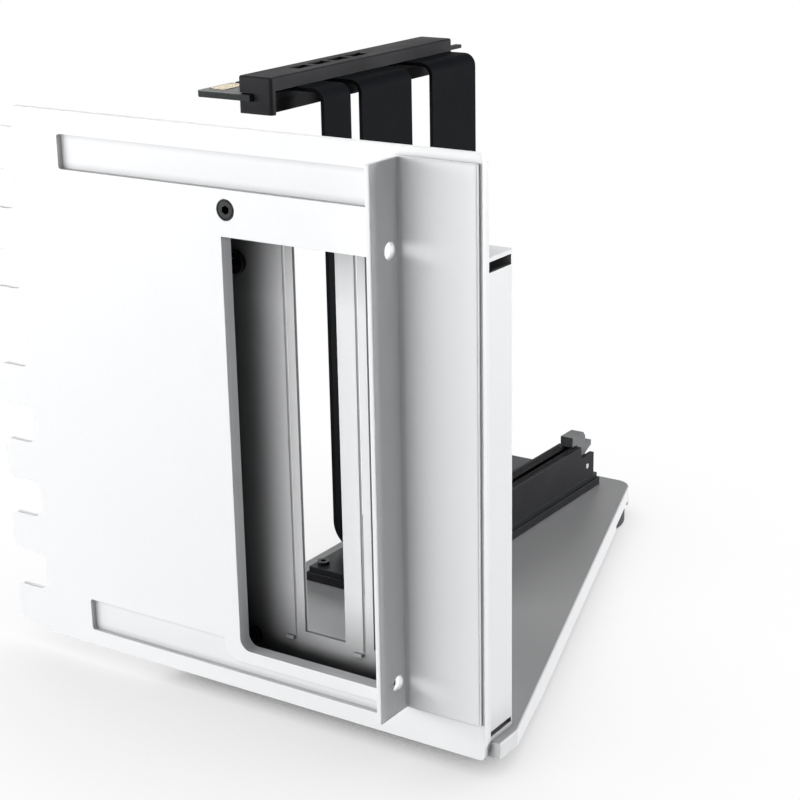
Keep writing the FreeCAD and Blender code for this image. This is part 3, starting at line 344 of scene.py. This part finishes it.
# %% Blacks
black_plastic = finish("black moulded plastic", (0.012, 0.012, 0.014), (0.085, 0.085, 0.090),
                       roughness=0.58, ripples=2600.0, depth=0.012 * MM, specular=0.12, tint=0.25,
                       edge_share=0.9, patches=60.0)
latch_plastic = finish("latch plastic", (0.10, 0.102, 0.106), (0.17, 0.172, 0.176), roughness=0.45,
                       ripples=2200.0, depth=0.008 * MM, specular=0.4, patches=90.0)
black_screw_metal = finish("black zinc screw", (0.012, 0.012, 0.013), (0.22, 0.22, 0.23),
                           roughness=0.38, ripples=2400.0, depth=0.006 * MM, metallic=0.6,
                           edge_reach=0.16 * MM, edge_share=0.6, patches=300.0)
foot_rubber = finish("foot rubber", (0.055, 0.055, 0.058), (0.09, 0.09, 0.093), roughness=0.72,
                     ripples=1800.0, depth=0.02 * MM, specular=0.3, tint=0.3, patches=70.0)
blacks = (black_plastic, latch_plastic, black_screw_metal, foot_rubber)
print("blacks:", ", ".join(item.name for item in blacks))

# %% [markdown]
# Two bare metals: the latch turns on a drawn steel pin, and the contacts are gold plated. Both are
# fully metallic, so the colour is the colour of their reflections.

# %% Bare metals
pin_steel = finish("pin steel", (0.55, 0.55, 0.57), (0.72, 0.72, 0.74), roughness=0.28,
                   ripples=3000.0, depth=0.002 * MM, metallic=1.0, edge_reach=0.12 * MM,
                   patches=400.0)
gold = finish("gold contacts", (0.74, 0.62, 0.40), (0.86, 0.76, 0.56), roughness=0.30,
              ripples=3200.0, depth=0.002 * MM, metallic=1.0, edge_reach=0.10 * MM,
              patches=300.0, tint=0.15)
print("metals:", pin_steel.name, "and", gold.name)

# %% [markdown]
# A circuit board is more than a colour: copper tracks raise the solder mask a few hundredths of
# a millimetre, and they show through it as a slightly lighter field. A brick pattern gives
# straight tracks: its bricks are the copper and its mortar the gaps. The mask is black and satin.

# %% Solder mask
COPPER_COLOUR = (0.020, 0.024, 0.026)
COPPER_SHARE = 0.55     # how far the copper shows through the mask


def solder_mask():
    """The usual finish, with a brick pattern laid into its colour and its bump."""
    material = finish("black solder mask", (0.012, 0.014, 0.016), (0.16, 0.15, 0.12),
                      roughness=0.34, ripples=2800.0, depth=0.004 * MM, specular=0.1,
                      edge_reach=0.12 * MM, edge_share=0.7, patches=80.0)
    tree = material.node_tree
    shader = tree.nodes["Principled BSDF"]
    place = tree.nodes.new("ShaderNodeTexCoord").outputs["Object"]
    tracks = tree.nodes.new("ShaderNodeTexBrick")
    tracks.offset = 0.37
    tracks.squash = 1.6
    tracks.inputs["Scale"].default_value = 1.0
    tracks.inputs["Brick Width"].default_value = 6.4 * MM
    tracks.inputs["Row Height"].default_value = 0.55 * MM
    tracks.inputs["Mortar Size"].default_value = 0.12 * MM
    tracks.inputs["Mortar Smooth"].default_value = 0.3
    tree.links.new(place, tracks.inputs["Vector"])
    copper = math_node(tree, "SUBTRACT", 1.0, tracks.outputs["Fac"])
    mask_colour = shader.inputs["Base Color"].links[0].from_socket
    shown = math_node(tree, "MULTIPLY", copper, COPPER_SHARE)
    field = blend_colours(tree, shown, mask_colour, COPPER_COLOUR)
    tree.links.new(field, shader.inputs["Base Color"])
    raised = tree.nodes.new("ShaderNodeBump")
    raised.inputs["Distance"].default_value = 0.03 * MM
    tree.links.new(copper, raised.inputs["Height"])
    tree.links.new(shader.inputs["Normal"].links[0].from_socket, raised.inputs["Normal"])
    tree.links.new(raised.outputs["Normal"], shader.inputs["Normal"])
    return material


board_mask = solder_mask()
print("board material:", board_mask.name)

# %% [markdown]
# The ribbons are flat bundles of shielded wires in a matt black film. The film follows the wires
# as soft ridges, and it has picked up fine creases. A ribbon bends only in the XZ plane, so its
# wires keep their Y all the way, and a ridge pattern that reads Y alone follows every bend.

# %% Ribbon film
RIDGE_PITCH = 1.3 * MM
RIDGE_HEIGHT, CREASE_HEIGHT = 0.22, 1.6     # shares of the bump's distance
FILM, DULL_FILM, LIT_FILM = (0.0025, 0.003, 0.004), (0.005, 0.0055, 0.007), (0.007, 0.008, 0.010)
LIT_SHARE = 0.4
FILM_ROUGHNESS, FILM_SWING = 0.66, 0.10


def ribbon_film():
    """A matt black film with a ridge over every wire."""
    material = bpy.data.materials.new("ribbon film")
    material.use_nodes = True
    tree = material.node_tree
    shader = tree.nodes["Principled BSDF"]
    place = tree.nodes.new("ShaderNodeTexCoord").outputs["Object"]
    split = tree.nodes.new("ShaderNodeSeparateXYZ")
    tree.links.new(place, split.inputs[0])
    angle = math_node(tree, "MULTIPLY", split.outputs["Y"], 2 * math.pi / RIDGE_PITCH)
    ridge = math_node(tree, "MULTIPLY", math_node(tree, "COSINE", angle), RIDGE_HEIGHT)
    creases = tree.nodes.new("ShaderNodeTexNoise")
    creases.inputs["Scale"].default_value = 420.0
    creases.inputs["Detail"].default_value = 4.0
    creases.inputs["Distortion"].default_value = 0.4
    tree.links.new(place, creases.inputs["Vector"])
    folds = math_node(tree, "MULTIPLY", creases.outputs["Fac"], CREASE_HEIGHT)
    bump = tree.nodes.new("ShaderNodeBump")
    bump.inputs["Distance"].default_value = 0.030 * MM
    tree.links.new(math_node(tree, "ADD", ridge, folds), bump.inputs["Height"])
    rounded = tree.nodes.new("ShaderNodeBevel")
    rounded.samples = 4
    rounded.inputs["Radius"].default_value = 0.3 * MM
    tree.links.new(rounded.outputs["Normal"], bump.inputs["Normal"])
    tree.links.new(bump.outputs["Normal"], shader.inputs["Normal"])
    grain = use_group(tree, grain_group, place, Ripples_per_metre=2400.0)
    marks = use_group(tree, marks_group, place, Patches_per_metre=45.0)
    skin = blend_colours(tree, marks.outputs["Mark"], FILM, DULL_FILM)
    lit = math_node(tree, "MULTIPLY", grain.outputs["Ripple"], LIT_SHARE)
    tree.links.new(blend_colours(tree, lit, skin, LIT_FILM), shader.inputs["Base Color"])
    swing = math_node(tree, "MULTIPLY", marks.outputs["Mark"], FILM_SWING)
    tree.links.new(math_node(tree, "ADD", swing, FILM_ROUGHNESS), shader.inputs["Roughness"])
    shader.inputs["Specular IOR Level"].default_value = 0.04
    return material


ribbon_material = ribbon_film()
print("ribbon material:", ribbon_material.name)

# %% [markdown]
# Each solid takes the finish of its material slot in the record. A solid's mesh stays as it is,
# and only its material slot changes. The rims catch light as real sheared or moulded edges do,
# because every finish above rounds the surface's direction there with a Bevel node. Their lighter
# edge colour adds a painted highlight.

# %% Finish the solids
# Three sheets of the white slot have a finish of their own, and the tray's is the white coat in
# painted shade.
OWN_FINISH = {"screw_flange": flange_coat, "backing_sheet": backing_coat, "base_tray": shaded_tray_coat}
SLOT_FINISH = {
    "white_coat": white_coat, "inner_coat": inner_coat, "black_screw": black_screw_metal,
    "pin_steel": pin_steel, "gold": gold, "black_plastic": black_plastic,
    "latch_plastic": latch_plastic, "board": board_mask, "ribbon": ribbon_material,
    "foot_rubber": foot_rubber,
}


def material_slot_of(name):
    """The material slot that the record gives a solid."""
    for part in frame["record"]["subparts"]:
        if part["node"] == name:
            return part["material_slot"]


for name, piece in nodes.items():
    piece.data.materials.clear()
    piece.data.materials.append(OWN_FINISH.get(name) or SLOT_FINISH[material_slot_of(name)])
print("finished", len(nodes), "solids")

# %% [markdown]
# Now the small parts that a CAD model leaves out. Most of them are little blocks in long rows, so
# three helpers come first. One makes a block from a cube, with its edges bevelled. One copies what
# a bmesh holds along a row. The last joins what several builders made into one piece, and gives it
# its body and its materials. All of them leave the place in the mesh, because a finished piece's
# object has to sit at the origin.

# %% Block, row and piece helpers
def block(shape, low, high, bevel=0.0):
    """A box between two corners with its edges cut back."""
    low, high = Vector(low), Vector(high)
    verts = bmesh.ops.create_cube(shape, size=1.0)["verts"]
    bmesh.ops.scale(shape, verts=verts, vec=high - low)
    bmesh.ops.translate(shape, verts=verts, vec=(low + high) / 2)
    if bevel:
        edges = list({edge for vert in verts for edge in vert.link_edges})
        bmesh.ops.bevel(shape, geom=edges, offset=bevel, segments=1, affect="EDGES", profile=0.5,
                        material=-1)


def row(shape, count, step):
    """Repeat all that the bmesh holds, count times in all, along a step."""
    first = list(shape.verts) + list(shape.edges) + list(shape.faces)
    for index in range(1, count):
        copy = bmesh.ops.duplicate(shape, geom=first)
        moved = [item for item in copy["geom"] if isinstance(item, bmesh.types.BMVert)]
        bmesh.ops.translate(shape, verts=moved, vec=Vector(step) * index)


def make_piece(name, body, slot, materials, *builders):
    """Join several bmesh builders into one piece. Each is (function, values...), and what it
    returns, if anything, is the number of its material."""
    mesh = bpy.data.meshes.new(name)
    whole = bmesh.new()
    for builder, *values in builders:
        part = bmesh.new()
        material_index = builder(part, *values) or 0
        for face in part.faces:
            face.material_index = material_index
        scratch = bpy.data.meshes.new("scratch")
        part.to_mesh(scratch)
        part.free()
        whole.from_mesh(scratch)
        bpy.data.meshes.remove(scratch)
    whole.to_mesh(mesh)
    whole.free()
    for material in materials:
        mesh.materials.append(material)
    piece = bpy.data.objects.new(name, mesh)
    bpy.context.scene.collection.objects.link(piece)
    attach(piece, body)
    print(f"{name}: {len(mesh.polygons)} faces")
    return piece


# %% [markdown]
# The plug's blade carries gold fingers on both faces, one every millimetre, with a gap at the key
# notch. The solid has them as plain bands, so this piece replaces it. The outermost fingers are
# shorter, as on every such board, because they must touch last.

# %% Gold fingers
FINGER_PITCH = 1.0 * MM
FINGER_WIDTH = 0.7 * MM
FINGER_THICKNESS = 0.1 * MM
FINGER_BEVEL = 0.03 * MM
FIRST_BAND = 10.8 * MM      # length of the short row of fingers
BAND_GAP = 3.3 * MM         # the key notch between the two rows
SHORTER = 1.6 * MM          # how far the outermost fingers stand back
TIP_ZONE = 0.2 * MM         # corners this near the blade's tip belong to a finger's end
finger_low, finger_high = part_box("plug_fingers")


def finger_row(shape, start, length, underside):
    """One row of fingers on the blade's upper face or its underside."""
    base = finger_low.z if underside else finger_high.z - FINGER_THICKNESS
    count = int(length / FINGER_PITCH)
    first = start + (length - (count - 1) * FINGER_PITCH - FINGER_WIDTH) / 2
    block(shape, (finger_low.x, first, base),
          (finger_high.x, first + FINGER_WIDTH, base + FINGER_THICKNESS), bevel=FINGER_BEVEL)
    row(shape, count, (0, FINGER_PITCH, 0))
    near_edge, far_edge = finger_low.y + FINGER_PITCH, finger_high.y - FINGER_PITCH
    outermost = [vert for vert in shape.verts if vert.co.x < finger_low.x + TIP_ZONE
                 and not near_edge <= vert.co.y <= far_edge]
    bmesh.ops.translate(shape, verts=outermost, vec=(SHORTER, 0, 0))


second_band = finger_low.y + FIRST_BAND + BAND_GAP
bands = ((finger_low.y, FIRST_BAND), (second_band, finger_high.y - second_band))
fingers = make_piece("gold_fingers", "mount", "gold", [gold],
                     *[(finger_row, start, length, underside) for start, length in bands
                       for underside in (False, True)])
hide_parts("plug_fingers")

# %% [markdown]
# The socket's top isn't smooth: between the contacts, small ribs stand on both sides of the slot
# and guide what is pushed in. They are a comb of blocks at the contacts' pitch. It leaves out the
# key, the bridge that divides the slot.

# %% Socket comb
RIB_WIDTH = 0.45 * MM
RIB_LENGTH = 1.35 * MM
RIB_HEIGHT = 0.25 * MM
RIB_ROOT = 0.05 * MM        # how deep a rib starts in the housing
RIB_BEVEL = 0.08 * MM
SLOT_GAP = 2.9 * MM         # from the ribs on one side to those on the other
FRONT_ROW = 12.0 * MM       # length of the row in front of the key
KEY_END = 15.3 * MM
COMB_MARGIN = 0.3 * MM      # the first rib stands this far in front of the contacts
socket_low, socket_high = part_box("socket_housing")
contact_low, contact_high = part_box("socket_contacts")
socket_middle = (contact_low.x + contact_high.x) / 2
socket_front = contact_low.y - COMB_MARGIN


def rib_row(shape, start, length, side):
    """One row of ribs on the left (-1) or the right (1) of the slot."""
    inner = socket_middle + side * SLOT_GAP / 2
    outer = inner + side * RIB_LENGTH
    block(shape, (min(inner, outer), start, socket_high.z - RIB_ROOT),
          (max(inner, outer), start + RIB_WIDTH, socket_high.z + RIB_HEIGHT), bevel=RIB_BEVEL)
    row(shape, int(length / FINGER_PITCH), (0, FINGER_PITCH, 0))


behind_key = socket_front + KEY_END
rib_rows = ((socket_front, FRONT_ROW), (behind_key, contact_high.y - behind_key))
make_piece("socket_comb", "mount", "black_plastic", [black_plastic],
           *[(rib_row, start, length, side) for start, length in rib_rows for side in (-1, 1)])

# %% [markdown]
# Ceramic capacitors stand in two rows on the riser's board, between the clamp and the socket.
# Each is a brown block with a tinned cap on both ends, and the caps are a little larger.

# %% Board capacitors
ceramic = finish("capacitor ceramic", (0.30, 0.20, 0.13), (0.38, 0.27, 0.19), roughness=0.5,
                 ripples=3000.0, depth=0.004 * MM, rim=0.06 * MM, patches=400.0)
tin = finish("solder tin", (0.62, 0.62, 0.63), (0.78, 0.78, 0.79), roughness=0.32, ripples=3000.0,
             depth=0.004 * MM, metallic=1.0, rim=0.06 * MM, edge_reach=0.1 * MM, patches=500.0)
CAPACITOR = Vector((1.6, 0.8, 0.75)) * MM
CAP_SHARE = 0.22            # each cap's share of the length
CAP_PROUD = 0.03 * MM       # how far a cap stands out from the ceramic
CAP_BEVEL = 0.08 * MM
CERAMIC_BEVEL = 0.05 * MM
board_low, board_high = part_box("riser_board")
strip_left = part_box("ribbon_clamp")[1].x
strip_width = socket_low.x - strip_left
# Where each row stands: its share of the strip's width, its start behind the board's front edge,
# how many there are, and their pitch.
CAPACITOR_ROWS = [(0.30, 14 * MM, 24, 3.2 * MM), (0.62, 15.5 * MM, 30, 2.5 * MM)]


def capacitor_bodies(shape, x, start, count, step):
    """The ceramic blocks of one row; 0 is their material."""
    low = Vector((x - CAPACITOR.x / 2, start, board_high.z))
    block(shape, low, low + CAPACITOR, bevel=CERAMIC_BEVEL)
    row(shape, count, (0, step, 0))
    return 0


def capacitor_ends(shape, x, start, count, step):
    """The tinned caps of one row; 1 is their material."""
    back, top = start + CAPACITOR.y + CAP_PROUD, board_high.z + CAPACITOR.z + CAP_PROUD
    for side in (-1, 1):
        inner = x + side * CAPACITOR.x * (0.5 - CAP_SHARE)
        outer = x + side * (CAPACITOR.x / 2 + CAP_PROUD)
        block(shape, (min(inner, outer), start - CAP_PROUD, board_high.z),
              (max(inner, outer), back, top), bevel=CAP_BEVEL)
    row(shape, count, (0, step, 0))
    return 1


make_piece("board_capacitors", "mount", "board", [ceramic, tin],
           *[(maker, strip_left + strip_width * share, board_low.y + start, count, step)
             for share, start, count, step in CAPACITOR_ROWS
             for maker in (capacitor_bodies, capacitor_ends)])

# %% [markdown]
# The plate's screw is the only one that the picture shows from the front, so it gets a proper
# head. Its outline is drawn once as a chain of points, from the hexagon's mouth over the rim and
# along the shank to the tip, and then spun about the screw's axis. The hexagon starts as a circle
# of six points. Its sides are cut into as many pieces as the ring has, so that the two loops can
# be bridged, and its floor is pushed in.

# %% Plate screw
RING_STEPS = 48
HEX_RADIUS = 1.1 * MM
HEX_DEPTH = 1.2 * MM
SHANK_RADIUS = 1.4 * MM
TIP_BEVEL = 0.3 * MM
HEAD_BEVEL = 0.15 * MM
WELD = 0.001 * MM       # points nearer than this are one point
screw_low, screw_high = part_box("plate_screw")
plate_low, plate_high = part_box("rear_plate")
screw_middle = (screw_low + screw_high) / 2
head_radius = (screw_high.x - screw_low.x) / 2
plate_sheet = plate_high.y - plate_low.y
screw_length = screw_high.y - screw_low.y
# Radius and depth behind the plate's face: a flat ring, a groove, and a small bevel at the rim.
FACE_OUTLINE = [(1.50 * MM, 0.0), (1.90 * MM, 0.0), (2.02 * MM, 0.06 * MM), (2.10 * MM, 0.20 * MM),
                (2.20 * MM, 0.20 * MM), (2.28 * MM, 0.05 * MM), (head_radius - HEAD_BEVEL, 0.0)]
SCREW_OUTLINE = FACE_OUTLINE + [
    (head_radius, HEAD_BEVEL), (head_radius, plate_sheet), (SHANK_RADIUS, plate_sheet),
    (SHANK_RADIUS, screw_length - TIP_BEVEL), (SHANK_RADIUS - TIP_BEVEL, screw_length),
    (0.0, screw_length)]


def screw(shape):
    """The spun outline, with the hexagon bridged to its mouth and sunk into it."""
    points = [shape.verts.new((radius, depth, 0)) for radius, depth in SCREW_OUTLINE]
    outline = [shape.edges.new(pair) for pair in zip(points, points[1:])]
    bmesh.ops.spin(shape, geom=points + outline, cent=(0, 0, 0), axis=(0, 1, 0), angle=2 * math.pi,
                   steps=RING_STEPS, use_merge=True)
    bmesh.ops.remove_doubles(shape, verts=shape.verts, dist=WELD)
    mouth = [edge for edge in shape.edges if edge.is_boundary]
    hexagon = bmesh.ops.create_circle(shape, segments=6, radius=HEX_RADIUS,
                                      matrix=Matrix.Rotation(math.pi / 2, 4, "X"))
    sides = list({edge for vert in hexagon["verts"] for edge in vert.link_edges})
    bmesh.ops.subdivide_edges(shape, edges=sides, cuts=RING_STEPS // 6 - 1)
    loop = [edge for edge in shape.edges if not edge.link_faces]
    bmesh.ops.bridge_loops(shape, edges=mouth + loop)
    walls = bmesh.ops.extrude_edge_only(shape, edges=loop)
    deep = [item for item in walls["geom"] if isinstance(item, bmesh.types.BMVert)]
    bmesh.ops.translate(shape, verts=deep, vec=(0, HEX_DEPTH, 0))
    floor_edges = [edge for edge in shape.edges if edge.is_boundary]
    bmesh.ops.contextual_create(shape, geom=floor_edges)
    bmesh.ops.recalc_face_normals(shape, faces=shape.faces)
    place = (screw_middle.x, screw_low.y, screw_middle.z)
    bmesh.ops.translate(shape, verts=shape.verts, vec=place)


plate_screw = make_piece("plate_screw_head", "mount", "black_screw", [black_screw_metal],
                         (screw,))
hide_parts("plate_screw")

# %% [markdown]
# A thin tray can't hold a thread, so a clinch nut is pressed in under the front screws: a round
# collar with a bore, squeezed into the sheet. The collar could be a cylinder with a hole cut out.
# Here the outline of its wall is drawn once as a closed chain and spun about the screw's axis,
# because that gives clean rings and the bevels come with it. The rear screw ends above a rubber
# foot, where there is no room for one.

# %% Clinch nuts under the tray
NUT_RADIUS = 2.1 * MM
NUT_BORE = 0.95 * MM
NUT_HEIGHT = 1.1 * MM
NUT_BEVEL = 0.2 * MM
NUT_STEPS = 32
TRAY_SHEET = 1.2 * MM
HEAD = 1.7 * MM         # radius of the screws' heads
# Radius and depth under the sheet, once round the wall.
NUT_OUTLINE = [(NUT_BORE, 0.0), (NUT_BORE, NUT_HEIGHT - NUT_BEVEL),
               (NUT_BORE + NUT_BEVEL, NUT_HEIGHT), (NUT_RADIUS - NUT_BEVEL, NUT_HEIGHT),
               (NUT_RADIUS, NUT_HEIGHT - NUT_BEVEL), (NUT_RADIUS, 0.0)]
tray_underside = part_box("base_tray")[1].z - TRAY_SHEET
panel_low, panel_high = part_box("tray_screws")
riser_low, riser_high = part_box("riser_screws")
panel_row = (panel_low.y + panel_high.y) / 2
panel_columns = (panel_low.x + HEAD, (panel_low.x + panel_high.x) / 2, panel_high.x - HEAD)
riser_columns = (riser_low.x + HEAD, riser_high.x - HEAD)
nut_spots = ([(x, panel_row) for x in panel_columns]
             + [(x, riser_low.y + HEAD) for x in riser_columns])


def clinch_nut(shape, x, y):
    """One collar below the tray at the place x, y."""
    points = [shape.verts.new((radius, 0, -depth)) for radius, depth in NUT_OUTLINE]
    wall = [shape.edges.new(pair) for pair in zip(points, points[1:] + points[:1])]
    bmesh.ops.spin(shape, geom=points + wall, cent=(0, 0, 0), axis=(0, 0, 1), angle=2 * math.pi,
                   steps=NUT_STEPS, use_merge=True)
    bmesh.ops.remove_doubles(shape, verts=shape.verts, dist=WELD)
    bmesh.ops.recalc_face_normals(shape, faces=shape.faces)
    bmesh.ops.translate(shape, verts=shape.verts, vec=(x, y, tray_underside))


make_piece("clinch_nuts", "mount", "pin_steel", [pin_steel],
           *[(clinch_nut, x, y) for x, y in nut_spots])

# %% [markdown]
# The studio. The floor is pale and lies under the feet. To the camera it is pure white with a
# soft shadow where the object stands, which an Ambient Occlusion node gives. For every other ray
# it is a plain pale surface that returns some light to the undersides.

# %% Floor
FLOOR_SIZE = 6.0
FLOOR_GAP = 0.02 * MM       # keeps the soles and the floor from sharing a plane
SHADOW_REACH = 0.10         # how far from the object the floor darkens
SHADOW_STRENGTH = 0.35      # a power; a smaller one gives a fainter shadow
lowest = cad_box[0][2]


def floor_material():
    """White with a soft shadow to the camera and to reflections, plain to all other rays."""
    material = bpy.data.materials.new("pale floor")
    material.use_nodes = True
    tree = material.node_tree
    tree.nodes.clear()
    out = tree.nodes.new("ShaderNodeOutputMaterial")
    shade = tree.nodes.new("ShaderNodeAmbientOcclusion")
    shade.samples = 8
    shade.inputs["Distance"].default_value = SHADOW_REACH
    soft = math_node(tree, "POWER", shade.outputs["AO"], SHADOW_STRENGTH)
    glow = tree.nodes.new("ShaderNodeEmission")
    tree.links.new(soft, glow.inputs["Strength"])
    plain = tree.nodes.new("ShaderNodeBsdfDiffuse")
    plain.inputs["Color"].default_value = (0.8, 0.8, 0.8, 1.0)
    path = tree.nodes.new("ShaderNodeLightPath")
    seen = math_node(tree, "ADD", path.outputs["Is Camera Ray"], path.outputs["Is Glossy Ray"])
    seen = math_node(tree, "ADD", seen, path.outputs["Is Transmission Ray"], clamp=True)
    mix = tree.nodes.new("ShaderNodeMixShader")
    tree.links.new(seen, mix.inputs[0])
    tree.links.new(plain.outputs[0], mix.inputs[1])
    tree.links.new(glow.outputs[0], mix.inputs[2])
    tree.links.new(mix.outputs[0], out.inputs["Surface"])
    return material


def stage_piece(name, mesh_maker, material):
    """Make an object of the studio from a bmesh function and give it a material."""
    shape = bmesh.new()
    mesh_maker(shape)
    mesh = bpy.data.meshes.new(name)
    shape.to_mesh(mesh)
    shape.free()
    mesh.materials.append(material)
    piece = bpy.data.objects.new(name, mesh)
    bpy.context.scene.collection.objects.link(piece)
    return piece


def floor_plane(shape):
    """A single square face just under the feet."""
    bmesh.ops.create_grid(shape, x_segments=1, y_segments=1, size=FLOOR_SIZE / 2)
    bmesh.ops.translate(shape, verts=shape.verts, vec=(0, 0, lowest - FLOOR_GAP))


floor = stage_piece("studio_floor", floor_plane, floor_material())
print("floor lies at", round(lowest / MM, 2), "mm")

# %% [markdown]
# The light. The photograph tells where it comes from: the flange's screw holes let two small
# patches of light fall on the leg beside it, so the main lamps stand to the left in front of the
# plate and only a little above its middle. A weak one straight ahead fills their shadows. A lamp
# behind on the right brightens the side of the slot panel and the tray's lip, and a faint one
# stands behind on the left.

# %% Lamps
OBJECT_MIDDLE = Vector((-0.03, 0.03, 0.0))
LAMP_DISTANCE = 1.2


def soft_lamp(name, azimuth, elevation, size, power, height=None):
    """A lamp that faces the object; azimuth 0 stands in front and 90 to the right. It is square
    unless a height is given."""
    data = bpy.data.lights.new(name, "AREA")
    data.shape = "RECTANGLE"
    data.size = size
    data.size_y = height or size
    data.energy = power
    lamp = bpy.data.objects.new(name, data)
    bpy.context.scene.collection.objects.link(lamp)
    around, up = math.radians(azimuth), math.radians(elevation)
    towards = Vector((math.sin(around) * math.cos(up), -math.cos(around) * math.cos(up),
                      math.sin(up)))
    lamp.location = OBJECT_MIDDLE + towards * LAMP_DISTANCE
    lamp.rotation_euler = (-towards).to_track_quat("-Z", "Y").to_euler()
    return lamp


soft_lamp("front_lamp", azimuth=-29, elevation=5, size=1.2, height=0.5, power=14.9)
soft_lamp("left_lamp", azimuth=-62, elevation=6, size=0.35, height=0.3, power=5.8)
soft_lamp("fill_lamp", azimuth=6, elevation=6, size=0.4, height=0.3, power=1.1)
soft_lamp("side_lamp", azimuth=127, elevation=7, size=0.7, height=0.3, power=17)
soft_lamp("back_lamp", azimuth=212, elevation=14, size=0.5, power=1.2)
print("lamps:", ", ".join(light.name for light in bpy.data.lights))

# %% [markdown]
# The shelf, the plug and the upper rims are bright in the photograph, but the tray lies in shade.
# A studio would hold a flag between the lamp and the tray. Here light linking does the same: the
# lamp overhead has a collection of objects that it leaves out. The floor is in it too, because the
# light that it returns would flatten the shading of the upright sheets.

# %% Lamp overhead
top_lamp = soft_lamp("top_lamp", azimuth=180, elevation=84, size=0.3, power=12)
left_out = bpy.data.collections.new("left_out_by_top_lamp")
for piece in (nodes["base_tray"], floor):
    left_out.objects.link(piece)
for entry in left_out.collection_objects:
    entry.light_linking.link_state = "EXCLUDE"
top_lamp.light_linking.receiver_collection = left_out

# %% [markdown]
# Nothing shines through the card openings from behind in the photograph, so the recess is dim.
# The lamp behind on the right would shine through them. A flag stops it: a plane in the middle of
# the panel's sheet, a little larger than the opening, that only shadow rays meet. The camera,
# reflections and bounced light all pass it.

# %% Flags in the card openings
FLAG_OVERLAP = 0.5 * MM


def flag_planes(shape):
    """One upright square face for every card opening in the record."""
    for opening in frame["record"]["physics"]["openings"]:
        if not opening["name"].startswith("card_opening"):
            continue
        low, high = (Vector(corner) for corner in opening["box_m"])
        size = high - low + Vector((2, 0, 2)) * FLAG_OVERLAP
        grid = bmesh.ops.create_grid(shape, x_segments=1, y_segments=1, size=0.5,
                                     matrix=Matrix.Rotation(math.pi / 2, 4, "X"))
        bmesh.ops.scale(shape, verts=grid["verts"], vec=size)
        bmesh.ops.translate(shape, verts=grid["verts"], vec=(low + high) / 2)


flags = stage_piece("opening_flags", flag_planes, floor.data.materials[0])
for ray in ("camera", "diffuse", "glossy", "transmission", "volume_scatter"):
    setattr(flags, f"visible_{ray}", False)
print(len(flags.data.polygons), "flags")

# %% [markdown]
# The world adds an even, dim light. The camera sees a pure white backdrop. Every other ray sees a
# dim grey, a shade lighter overhead, so that the object's own tones stay true.

# %% World
def studio_world():
    """A white backdrop to the camera and a dim grey sky to all other rays."""
    world = bpy.data.worlds.new("studio")
    bpy.context.scene.world = world
    world.use_nodes = True
    tree = world.node_tree
    tree.nodes.clear()
    out = tree.nodes.new("ShaderNodeOutputWorld")
    place = tree.nodes.new("ShaderNodeTexCoord")
    split = tree.nodes.new("ShaderNodeSeparateXYZ")
    tree.links.new(place.outputs["Generated"], split.inputs[0])
    height = tree.nodes.new("ShaderNodeMapRange")
    height.inputs["From Min"].default_value = -0.2
    height.inputs["From Max"].default_value = 0.9
    height.inputs["To Min"].default_value = 0.05
    height.inputs["To Max"].default_value = 0.06
    tree.links.new(split.outputs["Z"], height.inputs["Value"])
    ambient = tree.nodes.new("ShaderNodeBackground")
    ambient.inputs["Color"].default_value = (1.0, 1.0, 1.0, 1.0)
    tree.links.new(height.outputs["Result"], ambient.inputs["Strength"])
    backdrop = tree.nodes.new("ShaderNodeBackground")
    backdrop.inputs["Color"].default_value = (1.0, 1.0, 1.0, 1.0)
    backdrop.inputs["Strength"].default_value = 1.0
    path = tree.nodes.new("ShaderNodeLightPath")
    seen = math_node(tree, "ADD", path.outputs["Is Camera Ray"],
                     path.outputs["Is Transmission Ray"], clamp=True)
    mix = tree.nodes.new("ShaderNodeMixShader")
    tree.links.new(seen, mix.inputs[0])
    tree.links.new(ambient.outputs[0], mix.inputs[1])
    tree.links.new(backdrop.outputs[0], mix.inputs[2])
    tree.links.new(mix.outputs[0], out.inputs["Surface"])


studio_world()
print("world:", bpy.context.scene.world.name)
